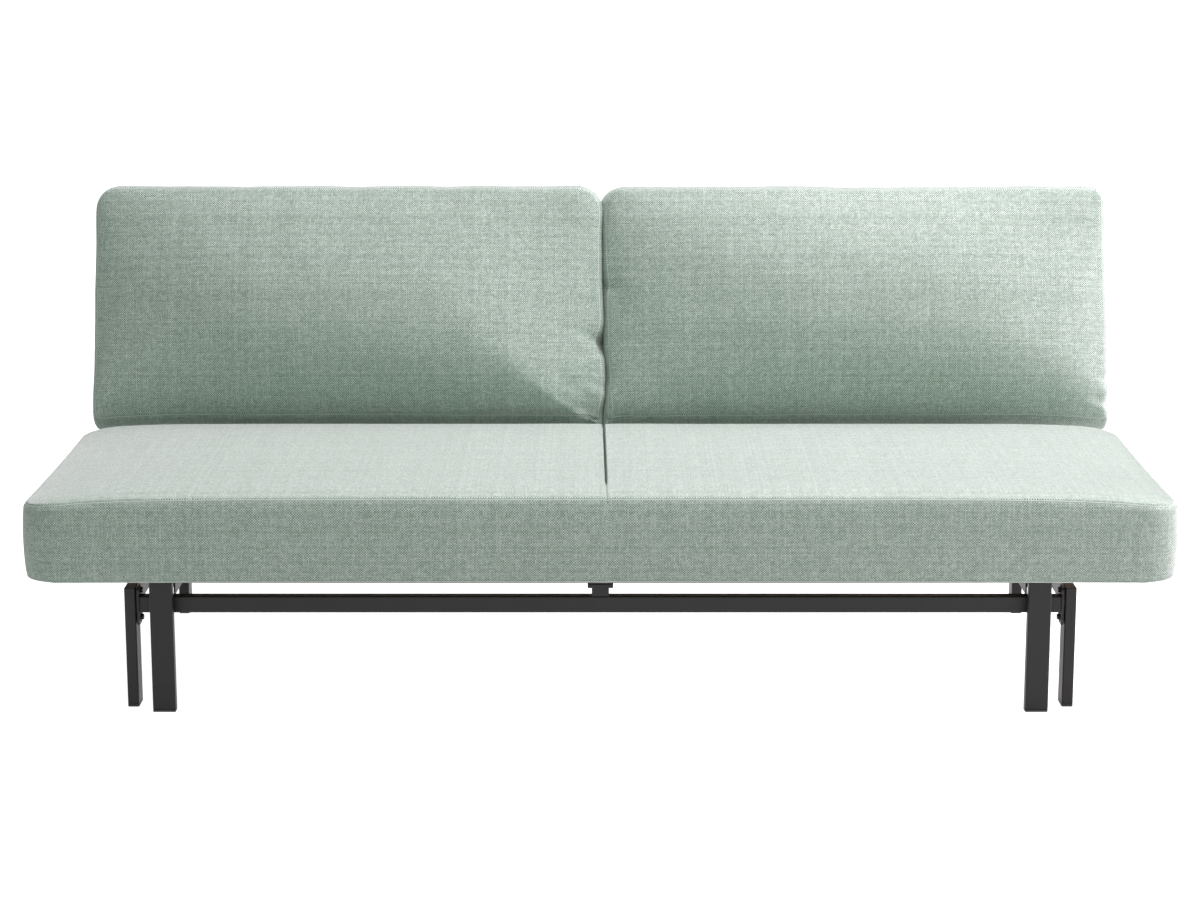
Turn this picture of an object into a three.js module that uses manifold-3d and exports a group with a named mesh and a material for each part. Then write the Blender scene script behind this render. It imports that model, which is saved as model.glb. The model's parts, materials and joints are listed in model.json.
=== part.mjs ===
// Click clack sofa bed: a seat that pulls out of a fixed base, and a back frame that folds flat behind it.
// Millimetres. X to the right, Y to the back, Z up, with the floor at zero.
// Y is counted from the front plane of the seat pad. The last lines move the origin below the middle.
import * as THREE from 'three';
import { mergeVertices } from 'three/addons/utils/BufferGeometryUtils.js';
import Module from 'manifold-3d';

const wasm = await Module();
wasm.setup();

// Seat pad and the board inside it
const seatWidth = 2000;
const seatDepth = 610;
const seatUnderside = 248;
const seatThickness = 148;
const seatCrown = 12;
const seatEndDroop = 12;
const seatCrownPowerAcross = 6;
const seatCrownPowerDeep = 4;
const seatDroopPower = 10;
const seatCornerRadius = 70;
const seatSideBulge = 3;
const seatSideDrawIn = 4;
const seatTopEdgeRound = 9;
const seatUnderEdgeRound = 5;
const slitWidth = 5;
const slitDepth = 32;
const slitFrontMargin = 55;
const boardThickness = 18;
const boardInset = 26;
const boardCornerRadius = 50;
const boardFit = 1;
const boardHoleRadius = 24;
const boardHoleCount = 6;

// Back cushions
const cushionEndInset = 6.5;
const cushionHeight = 470;
const cushionThickness = 100;
const cushionCrown = 66;
const cushionCrestDrop = 9;
const cushionCrownPowerAcross = 2.6;
const cushionCrownPowerTop = 1.5;
const cushionCrownPowerFoot = 1.35;
const cushionCrownTopShare = 0.13;
const cushionOuterCornerRadius = 33;
const cushionInnerCornerRadius = 52;
const cushionFootCornerRadius = 15;
const cushionDrawIn = 2;
const cushionSideBulge = 8;
const cushionEdgeRound = 5;
const cushionCentreGap = 3;
const cushionFootDip = 1.475;
const softGap = 0.3;

// Tubes and foot glides
const tubeWall = 2;
const tubeCornerRadius = 3;
const legEndRound = 1.2;
const legNarrow = 20;
const legWide = 40;
const glideFoot = 4;
const glidePlug = 14;
const glideFit = 0.3;

// Fixed base
const baseEndInset = 167;
const baseBelowSeat = 31;
const baseFrontGap = 8;
const crossRailHeight = 30;
const crossRailDepth = 20;
const endPlateThickness = 4;
const endPlateGap = 2;
const endPlateDepth = 32;
const endPlateBelowRail = 23;
const endPlateChamfer = 8;
const endPlateBossRadius = 7;
const endPlateBossInset = 12;
const postWidth = 30;
const postDepth = 20;
const postFlangeWidth = 45;
const postFlangeDepth = 32;
const postFlangeThickness = 6;
const postPadMargin = 3;
const postPadThickness = 4.7;
const postPadGap = 0.3;
const bedStopLength = 60;
const bedStopWidth = 12;
const bedStopFromRear = 70;
const bedStopGap = 0.4;

// Slide tracks and rollers
const trackHeight = 24;
const trackWall = 3;
const trackBelowBar = 2;
const trackFromLeg = 0.5;
const trackPlateGap = 3;
const trackFrontInset = 12;
const trackRearOverhang = 10;
const trackFlangeSetback = 46;
const trackWindowCount = 4;
const trackWindowLength = 48;
const trackWindowHeight = 8;
const trackWindowCornerShare = 0.45;
const slideTravel = 430;
const rollerPlay = 0.3;
const rollerWidth = 26;
const rollerSidePlay = 1;
const frontRollerMargin = 15;
const rollerSpacing = 72;
const rearRollerMargin = 27;
const axleRadius = 3;
const axleClearance = 0.1;
const axleHeadRadius = 5;
const axleHeadThickness = 2;
const axleHeadFromWeb = 1.5;

// Carriage
const pullLegFront = 60;
const carriageInset = 69;
const carriageBarHeight = 20;
const carriageBarWidth = 41;
const carriageRearFromHinge = 25;
const carriageCrossDepth = 30;
const rearBarFromBoardEdge = 6;
const carriageCentreWidth = 30;

// Click-clack fitting
const backLean = 17;
const fittingBehindSeat = 8;
const hingeBelowSeat = 5;
const plateThickness = 4;
const plateSpacer = 2;
const hingePinRadius = 6;
const hingePinHeadRadius = 10;
const hingePinHeadThickness = 3;
const pinClearance = 0.1;
const spacerRadius = 11;
const sectorRailGap = 3;
const sectorHubRadius = 20;
const sectorArmWidth = 20;
const sectorArmLength = 165;
const toothDepth = 5;
const toothRampAngle = 10;
const clickAngles = [0, 14, 28, 42, 90 - backLean];
const pawlContactAngle = 200;
const pawlStudAngle = 156.25;
const pawlStudRadius = 4;
const pawlStudHeadRadius = 7;
const pawlHubRadius = 9;
const pawlHubGap = 7.626;
const pawlClearance = 0.6;
const pawlLiftAngle = 9;
const pawlNeck = 6;
const springThickness = 1.2;
const springWidth = 3;
const springPostRadius = 3;
const springPostLead = 16;
const springPostDrop = 4;
const springGap = 0.4;
const fixedHubRadius = 24;
const fixedPlateRailGap = 2;
const fixedPlateUnderSeat = 49;

// Back frame
const backTubeDepth = 20;
const backUprightWidth = 30;
const backUprightFoot = 26;
const backFrameLength = 520;
const backRailHeight = 20;
const backBottomRailFoot = 44;
const slatThickness = 8;
const slatWidth = 68;
const slatCount = 6;
const slatCornerRadius = 10;
const slatOverhang = 6;
const slatFace = 12;
const seatedGap = 0.3;

// How far a cutting body runs past the face that it cuts
const overrun = 5;

// Facets
const cornerSteps = 3;
const roundSteps = 24;
const smallRoundSteps = 16;
const holeSteps = 12;
const fineRoundSteps = 72;
const bevelSteps = 1;
const padCornerSteps = 5;
const seatLongSteps = 20;
const cushionLongSteps = 18;
const padShortSteps = 7;

// Places that follow from the sizes above. Heights first, from the seat down to the rails
const seatEdgeHeight = seatUnderside + seatThickness;
const hingeHeight = seatUnderside - hingeBelowSeat;
const baseHeight = seatUnderside - baseBelowSeat;
const carriageBarUnderside = seatUnderside - carriageBarHeight;
const railTop = carriageBarUnderside - trackBelowBar - trackHeight;
const crossRailUnderside = railTop - crossRailHeight;
const endPlateUnderside = crossRailUnderside - endPlateBelowRail;
const postTop = carriageBarUnderside - postPadGap - postPadThickness;
const rollerHeight = railTop + trackHeight / 2;
const rollerRadius = (trackHeight - 2 * trackWall) / 2 - rollerPlay;
const sectorRadius = hingeHeight - railTop - sectorRailGap;

// The pawl's stud stands clear of the sector, and its place is counted from the hinge
const pawlStud = polar(sectorRadius + pawlHubGap + pawlHubRadius, pawlStudAngle);

// Depths, from the front to the back
const carriageFront = pullLegFront + legNarrow;
const baseFront = carriageFront + baseFrontGap;
const trackFront = baseFront + trackFrontInset;
const frontRollerY = trackFront + trackFlangeSetback + frontRollerMargin + slideTravel;
const rearRollerY = frontRollerY + rollerSpacing;
const trackRear = rearRollerY + rearRollerMargin;
const baseRear = trackRear - trackRearOverhang;
const hingeY = seatDepth + fittingBehindSeat + fixedHubRadius / 2 - pawlStud.x;
const carriageRear = hingeY - carriageRearFromHinge;
const frameFront = slatThickness + seatedGap - slatFace;
const frameRear = frameFront + backTubeDepth;

// Widths, from the base's sides inwards to the track, then out again through the fitting to the uprights
const baseHalfWidth = seatWidth / 2 - baseEndInset;
const baseInside = baseHalfWidth - legNarrow;
const endPlateOutside = baseInside - endPlateGap;
const endPlateInside = endPlateOutside - endPlateThickness;
const pullLegInside = baseInside - carriageInset;
const trackWebInside = pullLegInside + trackFromLeg;
const carriageBarOutside = pullLegInside + carriageBarWidth;
const trackOutside = carriageBarOutside - trackPlateGap;
const sectorInside = carriageBarOutside + plateThickness + plateSpacer;
const uprightInside = sectorInside + plateThickness;
const uprightOutside = uprightInside + backUprightWidth;

// The cushions share the seat's width, and their lower front edge dips a little into the seat
const lean = THREE.MathUtils.degToRad(backLean);
const cushionWidth = (seatWidth - cushionCentreGap) / 2 - cushionEndInset;
const cushionFrontPlane = slatFace + softGap + cushionThickness;
const cushionFootHeight = seatEdgeHeight - cushionFootDip - cushionFrontPlane * Math.sin(lean);
const cushionFoot = (cushionFootHeight - hingeHeight) / Math.cos(lean);

// Materials
function finish(color, roughness, metalness) {
  return new THREE.MeshStandardMaterial({ color, roughness, metalness });
}

const powderCoat = () => finish(0x3d3d3e, 0.55, 0.3);
const zinc = () => finish(0xb4b6b8, 0.38, 0.9);
const blackPlastic = () => finish(0x1b1b1c, 0.6, 0);
const rubber = () => finish(0x222222, 0.85, 0);
const beech = () => finish(0xd3b285, 0.5, 0);
const plywood = () => finish(0xc9a877, 0.6, 0);
const sageFabric = () => finish(0xb4cabd, 0.95, 0);

// A closed solid for booleans from a three.js geometry, and the way back
function toSolid(geometry) {
  const bare = geometry.clone();
  bare.deleteAttribute('normal');
  bare.deleteAttribute('uv');
  const merged = mergeVertices(bare);
  return new wasm.Manifold(new wasm.Mesh({
    numProp: 3,
    vertProperties: new Float32Array(merged.attributes.position.array),
    triVerts: new Uint32Array(merged.index.array),
  }));
}

function toGeometry(solid) {
  const mesh = solid.getMesh();
  const points = new Float32Array((mesh.vertProperties.length / mesh.numProp) * 3);
  for (let i = 0; i * 3 < points.length; i += 1) {
    for (let k = 0; k < 3; k += 1) points[i * 3 + k] = mesh.vertProperties[i * mesh.numProp + k];
  }
  const geometry = new THREE.BufferGeometry();
  geometry.setAttribute('position', new THREE.BufferAttribute(points, 3));
  geometry.setIndex(Array.from(mesh.triVerts));
  geometry.computeVertexNormals();
  return geometry;
}

function cut(body, ...tools) {
  return toGeometry(tools.reduce((rest, tool) => rest.subtract(toSolid(tool)), toSolid(body)));
}

function join(body, ...others) {
  return toGeometry(others.reduce((whole, other) => whole.add(toSolid(other)), toSolid(body)));
}

// The mirror image across X = 0, with its faces turned back outwards
function mirrored(geometry) {
  const image = geometry.index ? geometry.clone() : mergeVertices(geometry);
  image.scale(-1, 1, 1);
  const corners = image.index.array;
  for (let i = 0; i < corners.length; i += 3) {
    const first = corners[i];
    corners[i] = corners[i + 2];
    corners[i + 2] = first;
  }
  image.computeVertexNormals();
  return image;
}

// Shapes drawn flat, then extruded along X, Y or Z between two places
function extruded(shape, from, to, bevel = 0) {
  const geometry = new THREE.ExtrudeGeometry(shape, {
    depth: to - from - 2 * bevel,
    bevelEnabled: bevel > 0,
    bevelThickness: bevel,
    bevelSize: bevel,
    bevelOffset: -bevel,
    bevelSegments: bevelSteps,
    curveSegments: cornerSteps,
  });
  geometry.translate(0, 0, from + bevel);
  return geometry;
}

function alongZ(shape, from, to, bevel = 0) {
  return extruded(shape, from, to, bevel);
}

// The shape's two axes lie along Y and Z
function alongX(shape, from, to, bevel = 0) {
  const turn = new THREE.Matrix4().makeBasis(
    new THREE.Vector3(0, 1, 0), new THREE.Vector3(0, 0, 1), new THREE.Vector3(1, 0, 0));
  return extruded(shape, from, to, bevel).applyMatrix4(turn);
}

// The shape's two axes lie along X and Z
function alongY(shape, from, to, bevel = 0) {
  const turn = new THREE.Matrix4().makeBasis(
    new THREE.Vector3(1, 0, 0), new THREE.Vector3(0, 0, 1), new THREE.Vector3(0, -1, 0));
  return extruded(shape, -to, -from, bevel).applyMatrix4(turn);
}

function rectangle(x0, y0, x1, y1) {
  const shape = new THREE.Shape();
  shape.moveTo(x0, y0);
  shape.lineTo(x1, y0);
  shape.lineTo(x1, y1);
  shape.lineTo(x0, y1);
  shape.closePath();
  return shape;
}

function roundedRectangle(x0, y0, x1, y1, radius) {
  const shape = new THREE.Shape();
  shape.moveTo(x0 + radius, y0);
  shape.lineTo(x1 - radius, y0);
  shape.absarc(x1 - radius, y0 + radius, radius, -Math.PI / 2, 0, false);
  shape.lineTo(x1, y1 - radius);
  shape.absarc(x1 - radius, y1 - radius, radius, 0, Math.PI / 2, false);
  shape.lineTo(x0 + radius, y1);
  shape.absarc(x0 + radius, y1 - radius, radius, Math.PI / 2, Math.PI, false);
  shape.lineTo(x0, y0 + radius);
  shape.absarc(x0 + radius, y0 + radius, radius, Math.PI, Math.PI * 1.5, false);
  return shape;
}

// A regular polygon of the given number of steps, for round solids and round cutters
function disc(x, y, radius, steps = roundSteps) {
  const points = [];
  for (let i = 0; i < steps; i += 1) {
    const angle = (i / steps) * Math.PI * 2;
    points.push(new THREE.Vector2(x + radius * Math.cos(angle), y + radius * Math.sin(angle)));
  }
  return new THREE.Shape(points);
}

function polar(radius, degrees) {
  const angle = THREE.MathUtils.degToRad(degrees);
  return new THREE.Vector2(radius * Math.cos(angle), radius * Math.sin(angle));
}

// The outline that wraps a list of circles, each {x, y, r}, as a belt would
function hull(circles, steps = roundSteps) {
  const points = [];
  for (const circle of circles) {
    for (let i = 0; i < steps; i += 1) {
      const spoke = polar(circle.r, (i / steps) * 360);
      points.push(new THREE.Vector2(circle.x + spoke.x, circle.y + spoke.y));
    }
  }
  points.sort((a, b) => a.x - b.x || a.y - b.y);
  const turn = (o, a, b) => (a.x - o.x) * (b.y - o.y) - (a.y - o.y) * (b.x - o.x);
  const half = (list) => {
    const chain = [];
    for (const point of list) {
      while (chain.length > 1 && turn(chain.at(-2), chain.at(-1), point) <= 0) chain.pop();
      chain.push(point);
    }
    chain.pop();
    return chain;
  };
  return new THREE.Shape([...half(points), ...half([...points].reverse())]);
}

// Tubes: a rounded section with a bore. Run through, it is open at both ends. A leg is closed at its top.
function tubeSection(x0, y0, x1, y1) {
  const section = roundedRectangle(x0, y0, x1, y1, tubeCornerRadius);
  section.holes.push(rectangle(x0 + tubeWall, y0 + tubeWall, x1 - tubeWall, y1 - tubeWall));
  return section;
}

function legTube(x0, y0, x1, y1, bottom, top) {
  const outside = alongZ(roundedRectangle(x0, y0, x1, y1, tubeCornerRadius), bottom, top, legEndRound);
  const bore = rectangle(x0 + tubeWall, y0 + tubeWall, x1 - tubeWall, y1 - tubeWall);
  return cut(outside, alongZ(bore, bottom - overrun, top - tubeWall));
}

// A foot glide: the part that meets the floor, and the plug that holds it in the tube
function footGlide(x0, y0, x1, y1) {
  const inset = tubeWall + glideFit;
  const foot = alongZ(roundedRectangle(x0, y0, x1, y1, tubeCornerRadius), 0, glideFoot);
  const plugShape = rectangle(x0 + inset, y0 + inset, x1 - inset, y1 - inset);
  return join(foot, alongZ(plugShape, glideFoot / 2, glideFoot + glidePlug));
}

// The plate at a rail's end, with two bosses that stand it off the leg, drawn for the right side
function railEndPlate(front) {
  const rear = front + endPlateDepth;
  const c = endPlateChamfer;
  const edge = new THREE.Shape([
    new THREE.Vector2(front, endPlateUnderside + c / 2),
    new THREE.Vector2(front + c / 2, endPlateUnderside),
    new THREE.Vector2(rear - c, endPlateUnderside),
    new THREE.Vector2(rear, endPlateUnderside + c),
    new THREE.Vector2(rear, baseHeight - c),
    new THREE.Vector2(rear - c, baseHeight),
    new THREE.Vector2(front + c / 2, baseHeight),
    new THREE.Vector2(front, baseHeight - c / 2),
  ]);
  const plate = alongX(edge, endPlateInside, endPlateOutside);
  const middle = front + endPlateDepth / 2;
  const heights = [endPlateUnderside + endPlateBossInset, baseHeight - endPlateBossInset];
  const bosses = heights.map((z) => {
    const outline = disc(middle, z, endPlateBossRadius, smallRoundSteps);
    return alongX(outline, endPlateOutside - endPlateThickness / 2, baseInside);
  });
  return join(plate, ...bosses);
}

// The T-shaped post on the front rail that carries the middle of the carriage
function centrePost() {
  const rear = baseFront + postDepth;
  const flangeUnderside = postTop - postFlangeThickness;
  const post = alongZ(rectangle(-postWidth / 2, baseFront, postWidth / 2, rear), railTop, flangeUnderside);
  const flange = roundedRectangle(
    -postFlangeWidth / 2, baseFront, postFlangeWidth / 2, baseFront + postFlangeDepth, tubeCornerRadius);
  return join(post, alongZ(flange, flangeUnderside, postTop));
}

function centreGlidePad() {
  const m = postPadMargin;
  const pad = roundedRectangle(-postFlangeWidth / 2 + m, baseFront + m,
    postFlangeWidth / 2 - m, baseFront + postFlangeDepth - m, tubeCornerRadius);
  return alongZ(pad, postTop, postTop + postPadThickness);
}

// A track that opens outwards. Its web starts at the front rail, its flanges start further back.
function slideTrack() {
  const flangeFront = trackFront + trackFlangeSetback;
  const top = railTop + trackHeight;
  const inside = trackWebInside + trackWall;
  const block = alongX(rectangle(trackFront, railTop, trackRear, top), trackWebInside, trackOutside);
  const hollow = rectangle(inside, railTop + trackWall, trackOutside + overrun, top - trackWall);
  const channel = alongY(hollow, trackFront - overrun, trackRear + overrun);
  const bareWeb = rectangle(trackFront - overrun, railTop - overrun, flangeFront, top + overrun);
  const noFlange = alongX(bareWeb, inside, trackOutside + overrun);
  const windows = [];
  const pitch = (trackRear - flangeFront) / trackWindowCount;
  const corner = trackWindowHeight * trackWindowCornerShare;
  for (let i = 0; i < trackWindowCount; i += 1) {
    const middle = flangeFront + pitch * (i + 0.5);
    const slot = roundedRectangle(middle - trackWindowLength / 2, rollerHeight - trackWindowHeight / 2,
      middle + trackWindowLength / 2, rollerHeight + trackWindowHeight / 2, corner);
    windows.push(alongX(slot, trackWebInside - overrun, inside + trackWall / 2));
  }
  return cut(block, channel, noFlange, ...windows);
}

function bedStop() {
  const rear = baseRear - bedStopFromRear;
  const block = roundedRectangle(
    baseInside, rear - bedStopLength, baseInside + bedStopWidth, rear, tubeCornerRadius);
  return alongZ(block, baseHeight, hingeHeight - frameRear - bedStopGap);
}

// The back frame's own space: X as before, Y to the rear of the leaning back, Z up along it
function backSpace() {
  const space = new THREE.Group();
  space.position.set(0, hingeY, hingeHeight);
  space.rotation.x = -lean;
  return space;
}

// Toothed sector. Seen along X, its teeth are notches in an arc round the hinge pin: a steep face that
// locks and a ramp that lets the back rise. Angles are counted at rest, before the lean is taken off.
function notchedArc() {
  const start = pawlContactAngle - toothRampAngle * 2;
  const end = pawlContactAngle + clickAngles[clickAngles.length - 1] + toothRampAngle;
  const root = sectorRadius - toothDepth;
  const rims = clickAngles.map((angle) => pawlContactAngle + angle);
  const points = [polar(sectorRadius, start)];
  const between = (from, to) => {
    const count = Math.max(1, Math.round((to - from) / toothRampAngle));
    for (let i = 1; i <= count; i += 1) points.push(polar(sectorRadius, from + ((to - from) * i) / count));
  };
  let last = start;
  for (const face of rims) {
    between(last, face - toothRampAngle);
    points.push(polar(root, face));
    points.push(polar(sectorRadius, face));
    last = face;
  }
  between(last, end);
  return points;
}

function hingeSector() {
  const arc = notchedArc();
  const unlean = (point) => point.rotateAround(new THREE.Vector2(0, 0), lean);
  const fan = new THREE.Shape([new THREE.Vector2(0, 0), ...arc].map(unlean));
  const plate = alongX(fan, sectorInside, uprightInside);
  const armMiddle = -slatFace + slatThickness + backTubeDepth / 2;
  const arm = hull([
    { x: 0, y: 0, r: sectorHubRadius },
    { x: armMiddle, y: sectorArmLength - sectorArmWidth / 2, r: sectorArmWidth / 2 },
    { x: armMiddle, y: backUprightFoot + sectorArmWidth, r: sectorArmWidth / 2 },
  ]);
  const pinHole = disc(0, 0, hingePinRadius + pinClearance);
  const bore = alongX(pinHole, sectorInside - overrun, uprightInside + overrun);
  return cut(join(plate, alongX(arm, sectorInside, uprightInside)), bore);
}

// Pawl, in its own space round its stud, drawn as it sits in the first notch
function hingePawl() {
  const root = sectorRadius - toothDepth + pawlClearance;
  const gapAngle = THREE.MathUtils.radToDeg(pawlClearance / sectorRadius);
  const tip = polar(root, pawlContactAngle - gapAngle).sub(pawlStud);
  const heel = polar(sectorRadius + pawlClearance, pawlContactAngle - gapAngle).sub(pawlStud);
  const outer = polar(sectorRadius + pawlNeck, pawlContactAngle - gapAngle).sub(pawlStud);
  const ramp = polar(sectorRadius + pawlClearance * 2, pawlContactAngle - toothRampAngle).sub(pawlStud);
  const nose = new THREE.Shape([tip, ramp, new THREE.Vector2(0, 0), outer, heel]);
  const hub = alongX(disc(0, 0, pawlHubRadius), sectorInside, uprightInside);
  const arm = hull([
    { x: 0, y: 0, r: pawlHubRadius },
    { x: (outer.x + heel.x) / 2, y: (outer.y + heel.y) / 2 + pawlNeck / 2, r: pawlNeck / 2 },
  ]);
  const guard = alongX(disc(-pawlStud.x, -pawlStud.y, sectorRadius + pawlClearance, fineRoundSteps),
    sectorInside - overrun, uprightInside + overrun);
  const body = cut(join(hub, alongX(arm, sectorInside, uprightInside)), guard);
  const bore = alongX(disc(0, 0, pawlStudRadius + pinClearance, roundSteps),
    sectorInside - overrun, uprightInside + overrun);
  return cut(join(body, alongX(nose, sectorInside, uprightInside)), bore);
}

// Leaf spring that presses the pawl towards the sector, hooked on a post of the fixed plate
function springPostPlace() {
  return new THREE.Vector2(hingeY + pawlStud.x - springPostLead, hingeHeight - springPostDrop);
}

function pawlSpring() {
  const post = springPostPlace();
  const stud = new THREE.Vector2(hingeY, hingeHeight).add(pawlStud);
  const t = springThickness;
  const r = springPostRadius + springGap;
  const away = new THREE.Vector2().subVectors(post, stud).normalize();
  const along = new THREE.Vector2(-away.y, away.x);
  const hook = disc(post.x, post.y, r + t, smallRoundSteps);
  hook.holes.push(disc(post.x, post.y, r, smallRoundSteps));
  const x0 = sectorInside + (plateThickness - springWidth) / 2;
  const ring = alongX(hook, x0, x0 + springWidth);
  const root = post.clone().addScaledVector(along, -r - t / 2);
  const end = stud.clone().addScaledVector(along, -pawlHubRadius - springGap - t / 2);
  const side = new THREE.Vector2(-(end.y - root.y), end.x - root.x).normalize().multiplyScalar(t / 2);
  const leaf = new THREE.Shape([
    root.clone().add(side), root.clone().sub(side), end.clone().sub(side), end.clone().add(side)]);
  return join(ring, alongX(leaf, x0, x0 + springWidth));
}

// Fixed plate: it is bolted to the carriage bar, holds the hinge pin and the pawl's stud, and has the
// roller axles riveted in its lower edge
function hingeFixedPlate() {
  const low = railTop + fixedPlateRailGap;
  const stud = new THREE.Vector2(hingeY, hingeHeight).add(pawlStud);
  const springPost = springPostPlace();
  const edge = rollerHeight - low;
  const outline = hull([
    { x: seatDepth - fixedPlateUnderSeat, y: seatUnderside - edge, r: edge },
    { x: springPost.x, y: seatUnderside - edge, r: edge },
    { x: frontRollerY, y: rollerHeight, r: edge },
    { x: rearRollerY, y: rollerHeight, r: edge },
    { x: hingeY, y: seatUnderside - edge, r: edge },
  ]);
  const ear = hull([
    { x: stud.x, y: stud.y, r: fixedHubRadius / 2 },
    { x: hingeY, y: hingeHeight, r: fixedHubRadius },
    { x: stud.x, y: hingeHeight - fixedHubRadius / 2, r: fixedHubRadius / 2 },
  ]);
  const x0 = carriageBarOutside;
  const x1 = x0 + plateThickness;
  const flat = join(alongX(outline, x0, x1), alongX(ear, x0, x1));
  const spacer = alongX(disc(hingeY, hingeHeight, spacerRadius), x0, sectorInside - rollerPlay);
  const studSpacer = alongX(disc(stud.x, stud.y, pawlHubRadius, roundSteps), x0, sectorInside - rollerPlay);
  const studBody = alongX(disc(stud.x, stud.y, pawlStudRadius, roundSteps), x0, uprightInside + rollerPlay);
  const studHead = alongX(disc(stud.x, stud.y, pawlStudHeadRadius, roundSteps),
    uprightInside + rollerPlay, uprightInside + rollerPlay + axleHeadThickness);
  const hook = alongX(disc(springPost.x, springPost.y, springPostRadius, smallRoundSteps), x0, uprightInside);
  const headX = trackWebInside + trackWall + axleHeadFromWeb;
  const axles = [frontRollerY, rearRollerY].flatMap((y) => [
    alongX(disc(y, rollerHeight, axleRadius, smallRoundSteps), headX, x1),
    alongX(disc(y, rollerHeight, axleHeadRadius, smallRoundSteps), headX, headX + axleHeadThickness),
  ]);
  const plate = join(flat, spacer, studSpacer, studBody, studHead, hook, ...axles);
  const pinHole = disc(hingeY, hingeHeight, hingePinRadius + pinClearance);
  return cut(plate, alongX(pinHole, x0 - overrun, uprightInside));
}

function hingePin() {
  const head = alongX(disc(hingeY, hingeHeight, hingePinHeadRadius),
    carriageBarOutside - hingePinHeadThickness, carriageBarOutside);
  const rivet = alongX(disc(hingeY, hingeHeight, hingePinHeadRadius),
    uprightInside + rollerPlay, uprightInside + rollerPlay + hingePinHeadThickness);
  const shank = alongX(disc(hingeY, hingeHeight, hingePinRadius),
    carriageBarOutside - hingePinHeadThickness, uprightInside + hingePinHeadThickness);
  return join(head, shank, rivet);
}

function roller(y) {
  const x0 = trackWebInside + trackWall + axleHeadFromWeb + axleHeadThickness + rollerSidePlay;
  const wheel = alongX(disc(y, rollerHeight, rollerRadius), x0, x0 + rollerWidth);
  return cut(wheel, alongX(disc(y, rollerHeight, axleRadius + axleClearance, smallRoundSteps),
    x0 - overrun, x0 + rollerWidth + overrun));
}

// Soft forms. The outline of a pad in plan, with sides drawn in between rounded corners. The radius of a
// corner is given by the signs of its X and Y.
function padOutline(halfWidth, halfDepth, radiusAt, drawIn, longSteps, shortSteps) {
  const points = [];
  const corners = [
    [1, 1, 0], [-1, 1, 90], [-1, -1, 180], [1, -1, 270],
  ];
  const onCorner = ([sx, sy, from], turned) => {
    const radius = radiusAt(sx, sy);
    const spoke = polar(radius, from + turned);
    const x = sx * (halfWidth - radius) + spoke.x;
    const y = sy * (halfDepth - radius) + spoke.y;
    return { x, y, nx: spoke.x / radius, ny: spoke.y / radius };
  };
  corners.forEach((corner, index) => {
    for (let i = 0; i <= padCornerSteps; i += 1) points.push(onCorner(corner, (90 * i) / padCornerSteps));
    const steps = index % 2 === 0 ? longSteps : shortSteps;
    const last = points[points.length - 1];
    const goal = onCorner(corners[(index + 1) % corners.length], 0);
    for (let i = 1; i < steps; i += 1) {
      const share = i / steps;
      const pull = drawIn * Math.sin(Math.PI * share);
      points.push({
        x: last.x + (goal.x - last.x) * share - last.nx * pull,
        y: last.y + (goal.y - last.y) * share - last.ny * pull,
        nx: last.nx,
        ny: last.ny,
      });
    }
  });
  return points;
}

// Rings of the outline, each pushed out by its own amount and set at its own height, closed by two fans.
// A ring with a share below one shrinks towards the middle, which is how the crown is carried inwards.
function padForm(outline, rings) {
  const vertices = [];
  const faces = [];
  const n = outline.length;
  for (const ring of rings) {
    for (const point of outline) {
      const x = (point.x + point.nx * ring.out) * ring.share;
      const y = (point.y + point.ny * ring.out) * ring.share;
      vertices.push(x, y, ring.height(x, y));
    }
  }
  for (let k = 0; k + 1 < rings.length; k += 1) {
    for (let i = 0; i < n; i += 1) {
      const a = k * n + i;
      const b = k * n + ((i + 1) % n);
      faces.push(a, b, b + n, a, b + n, a + n);
    }
  }
  const under = rings.length * n;
  vertices.push(0, 0, rings[0].height(0, 0));
  vertices.push(0, 0, rings[rings.length - 1].height(0, 0));
  const lastRing = (rings.length - 1) * n;
  for (let i = 0; i < n; i += 1) {
    const j = (i + 1) % n;
    faces.push(under, j, i);
    faces.push(under + 1, lastRing + i, lastRing + j);
  }
  const geometry = new THREE.BufferGeometry();
  geometry.setAttribute('position', new THREE.BufferAttribute(new Float32Array(vertices), 3));
  geometry.setIndex(faces);
  geometry.computeVertexNormals();
  return geometry;
}

const crownRingShares = [0.97, 0.9, 0.78, 0.6, 0.35];

// A crown is full over the middle of a pad and falls off towards its edge, the steeper the higher the power
function fullness(position, half, power) {
  return 1 - Math.min(1, Math.abs(position / half)) ** power;
}

function seatPad(lift = 0) {
  const halfWidth = seatWidth / 2 - seatSideBulge;
  const halfDepth = seatDepth / 2 - seatSideBulge;
  const radiusAt = () => seatCornerRadius;
  const outline = padOutline(halfWidth, halfDepth, radiusAt, seatSideDrawIn, seatLongSteps, padShortSteps);
  const rise = (x, y) => seatCrown * fullness(x, halfWidth, seatCrownPowerAcross)
    * fullness(y, halfDepth, seatCrownPowerDeep);
  const edge = (x) => seatEdgeHeight - seatEndDroop * (1 - fullness(x, halfWidth, seatDroopPower));
  const top = (x, y) => edge(x) + rise(x, y);
  const rings = [
    { out: -seatUnderEdgeRound, share: 1, height: () => seatUnderside },
    { out: 0, share: 1, height: () => seatUnderside + seatUnderEdgeRound },
    { out: seatSideBulge, share: 1, height: (x) => (seatUnderside + edge(x)) / 2 },
    { out: 0, share: 1, height: (x) => edge(x) - seatTopEdgeRound },
    { out: -seatTopEdgeRound, share: 1, height: (x) => edge(x) },
    ...crownRingShares.map((share) => ({ out: -seatTopEdgeRound, share, height: top })),
  ];
  const pad = padForm(outline, rings);
  pad.translate(0, seatDepth / 2, lift);
  return pad;
}

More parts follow.
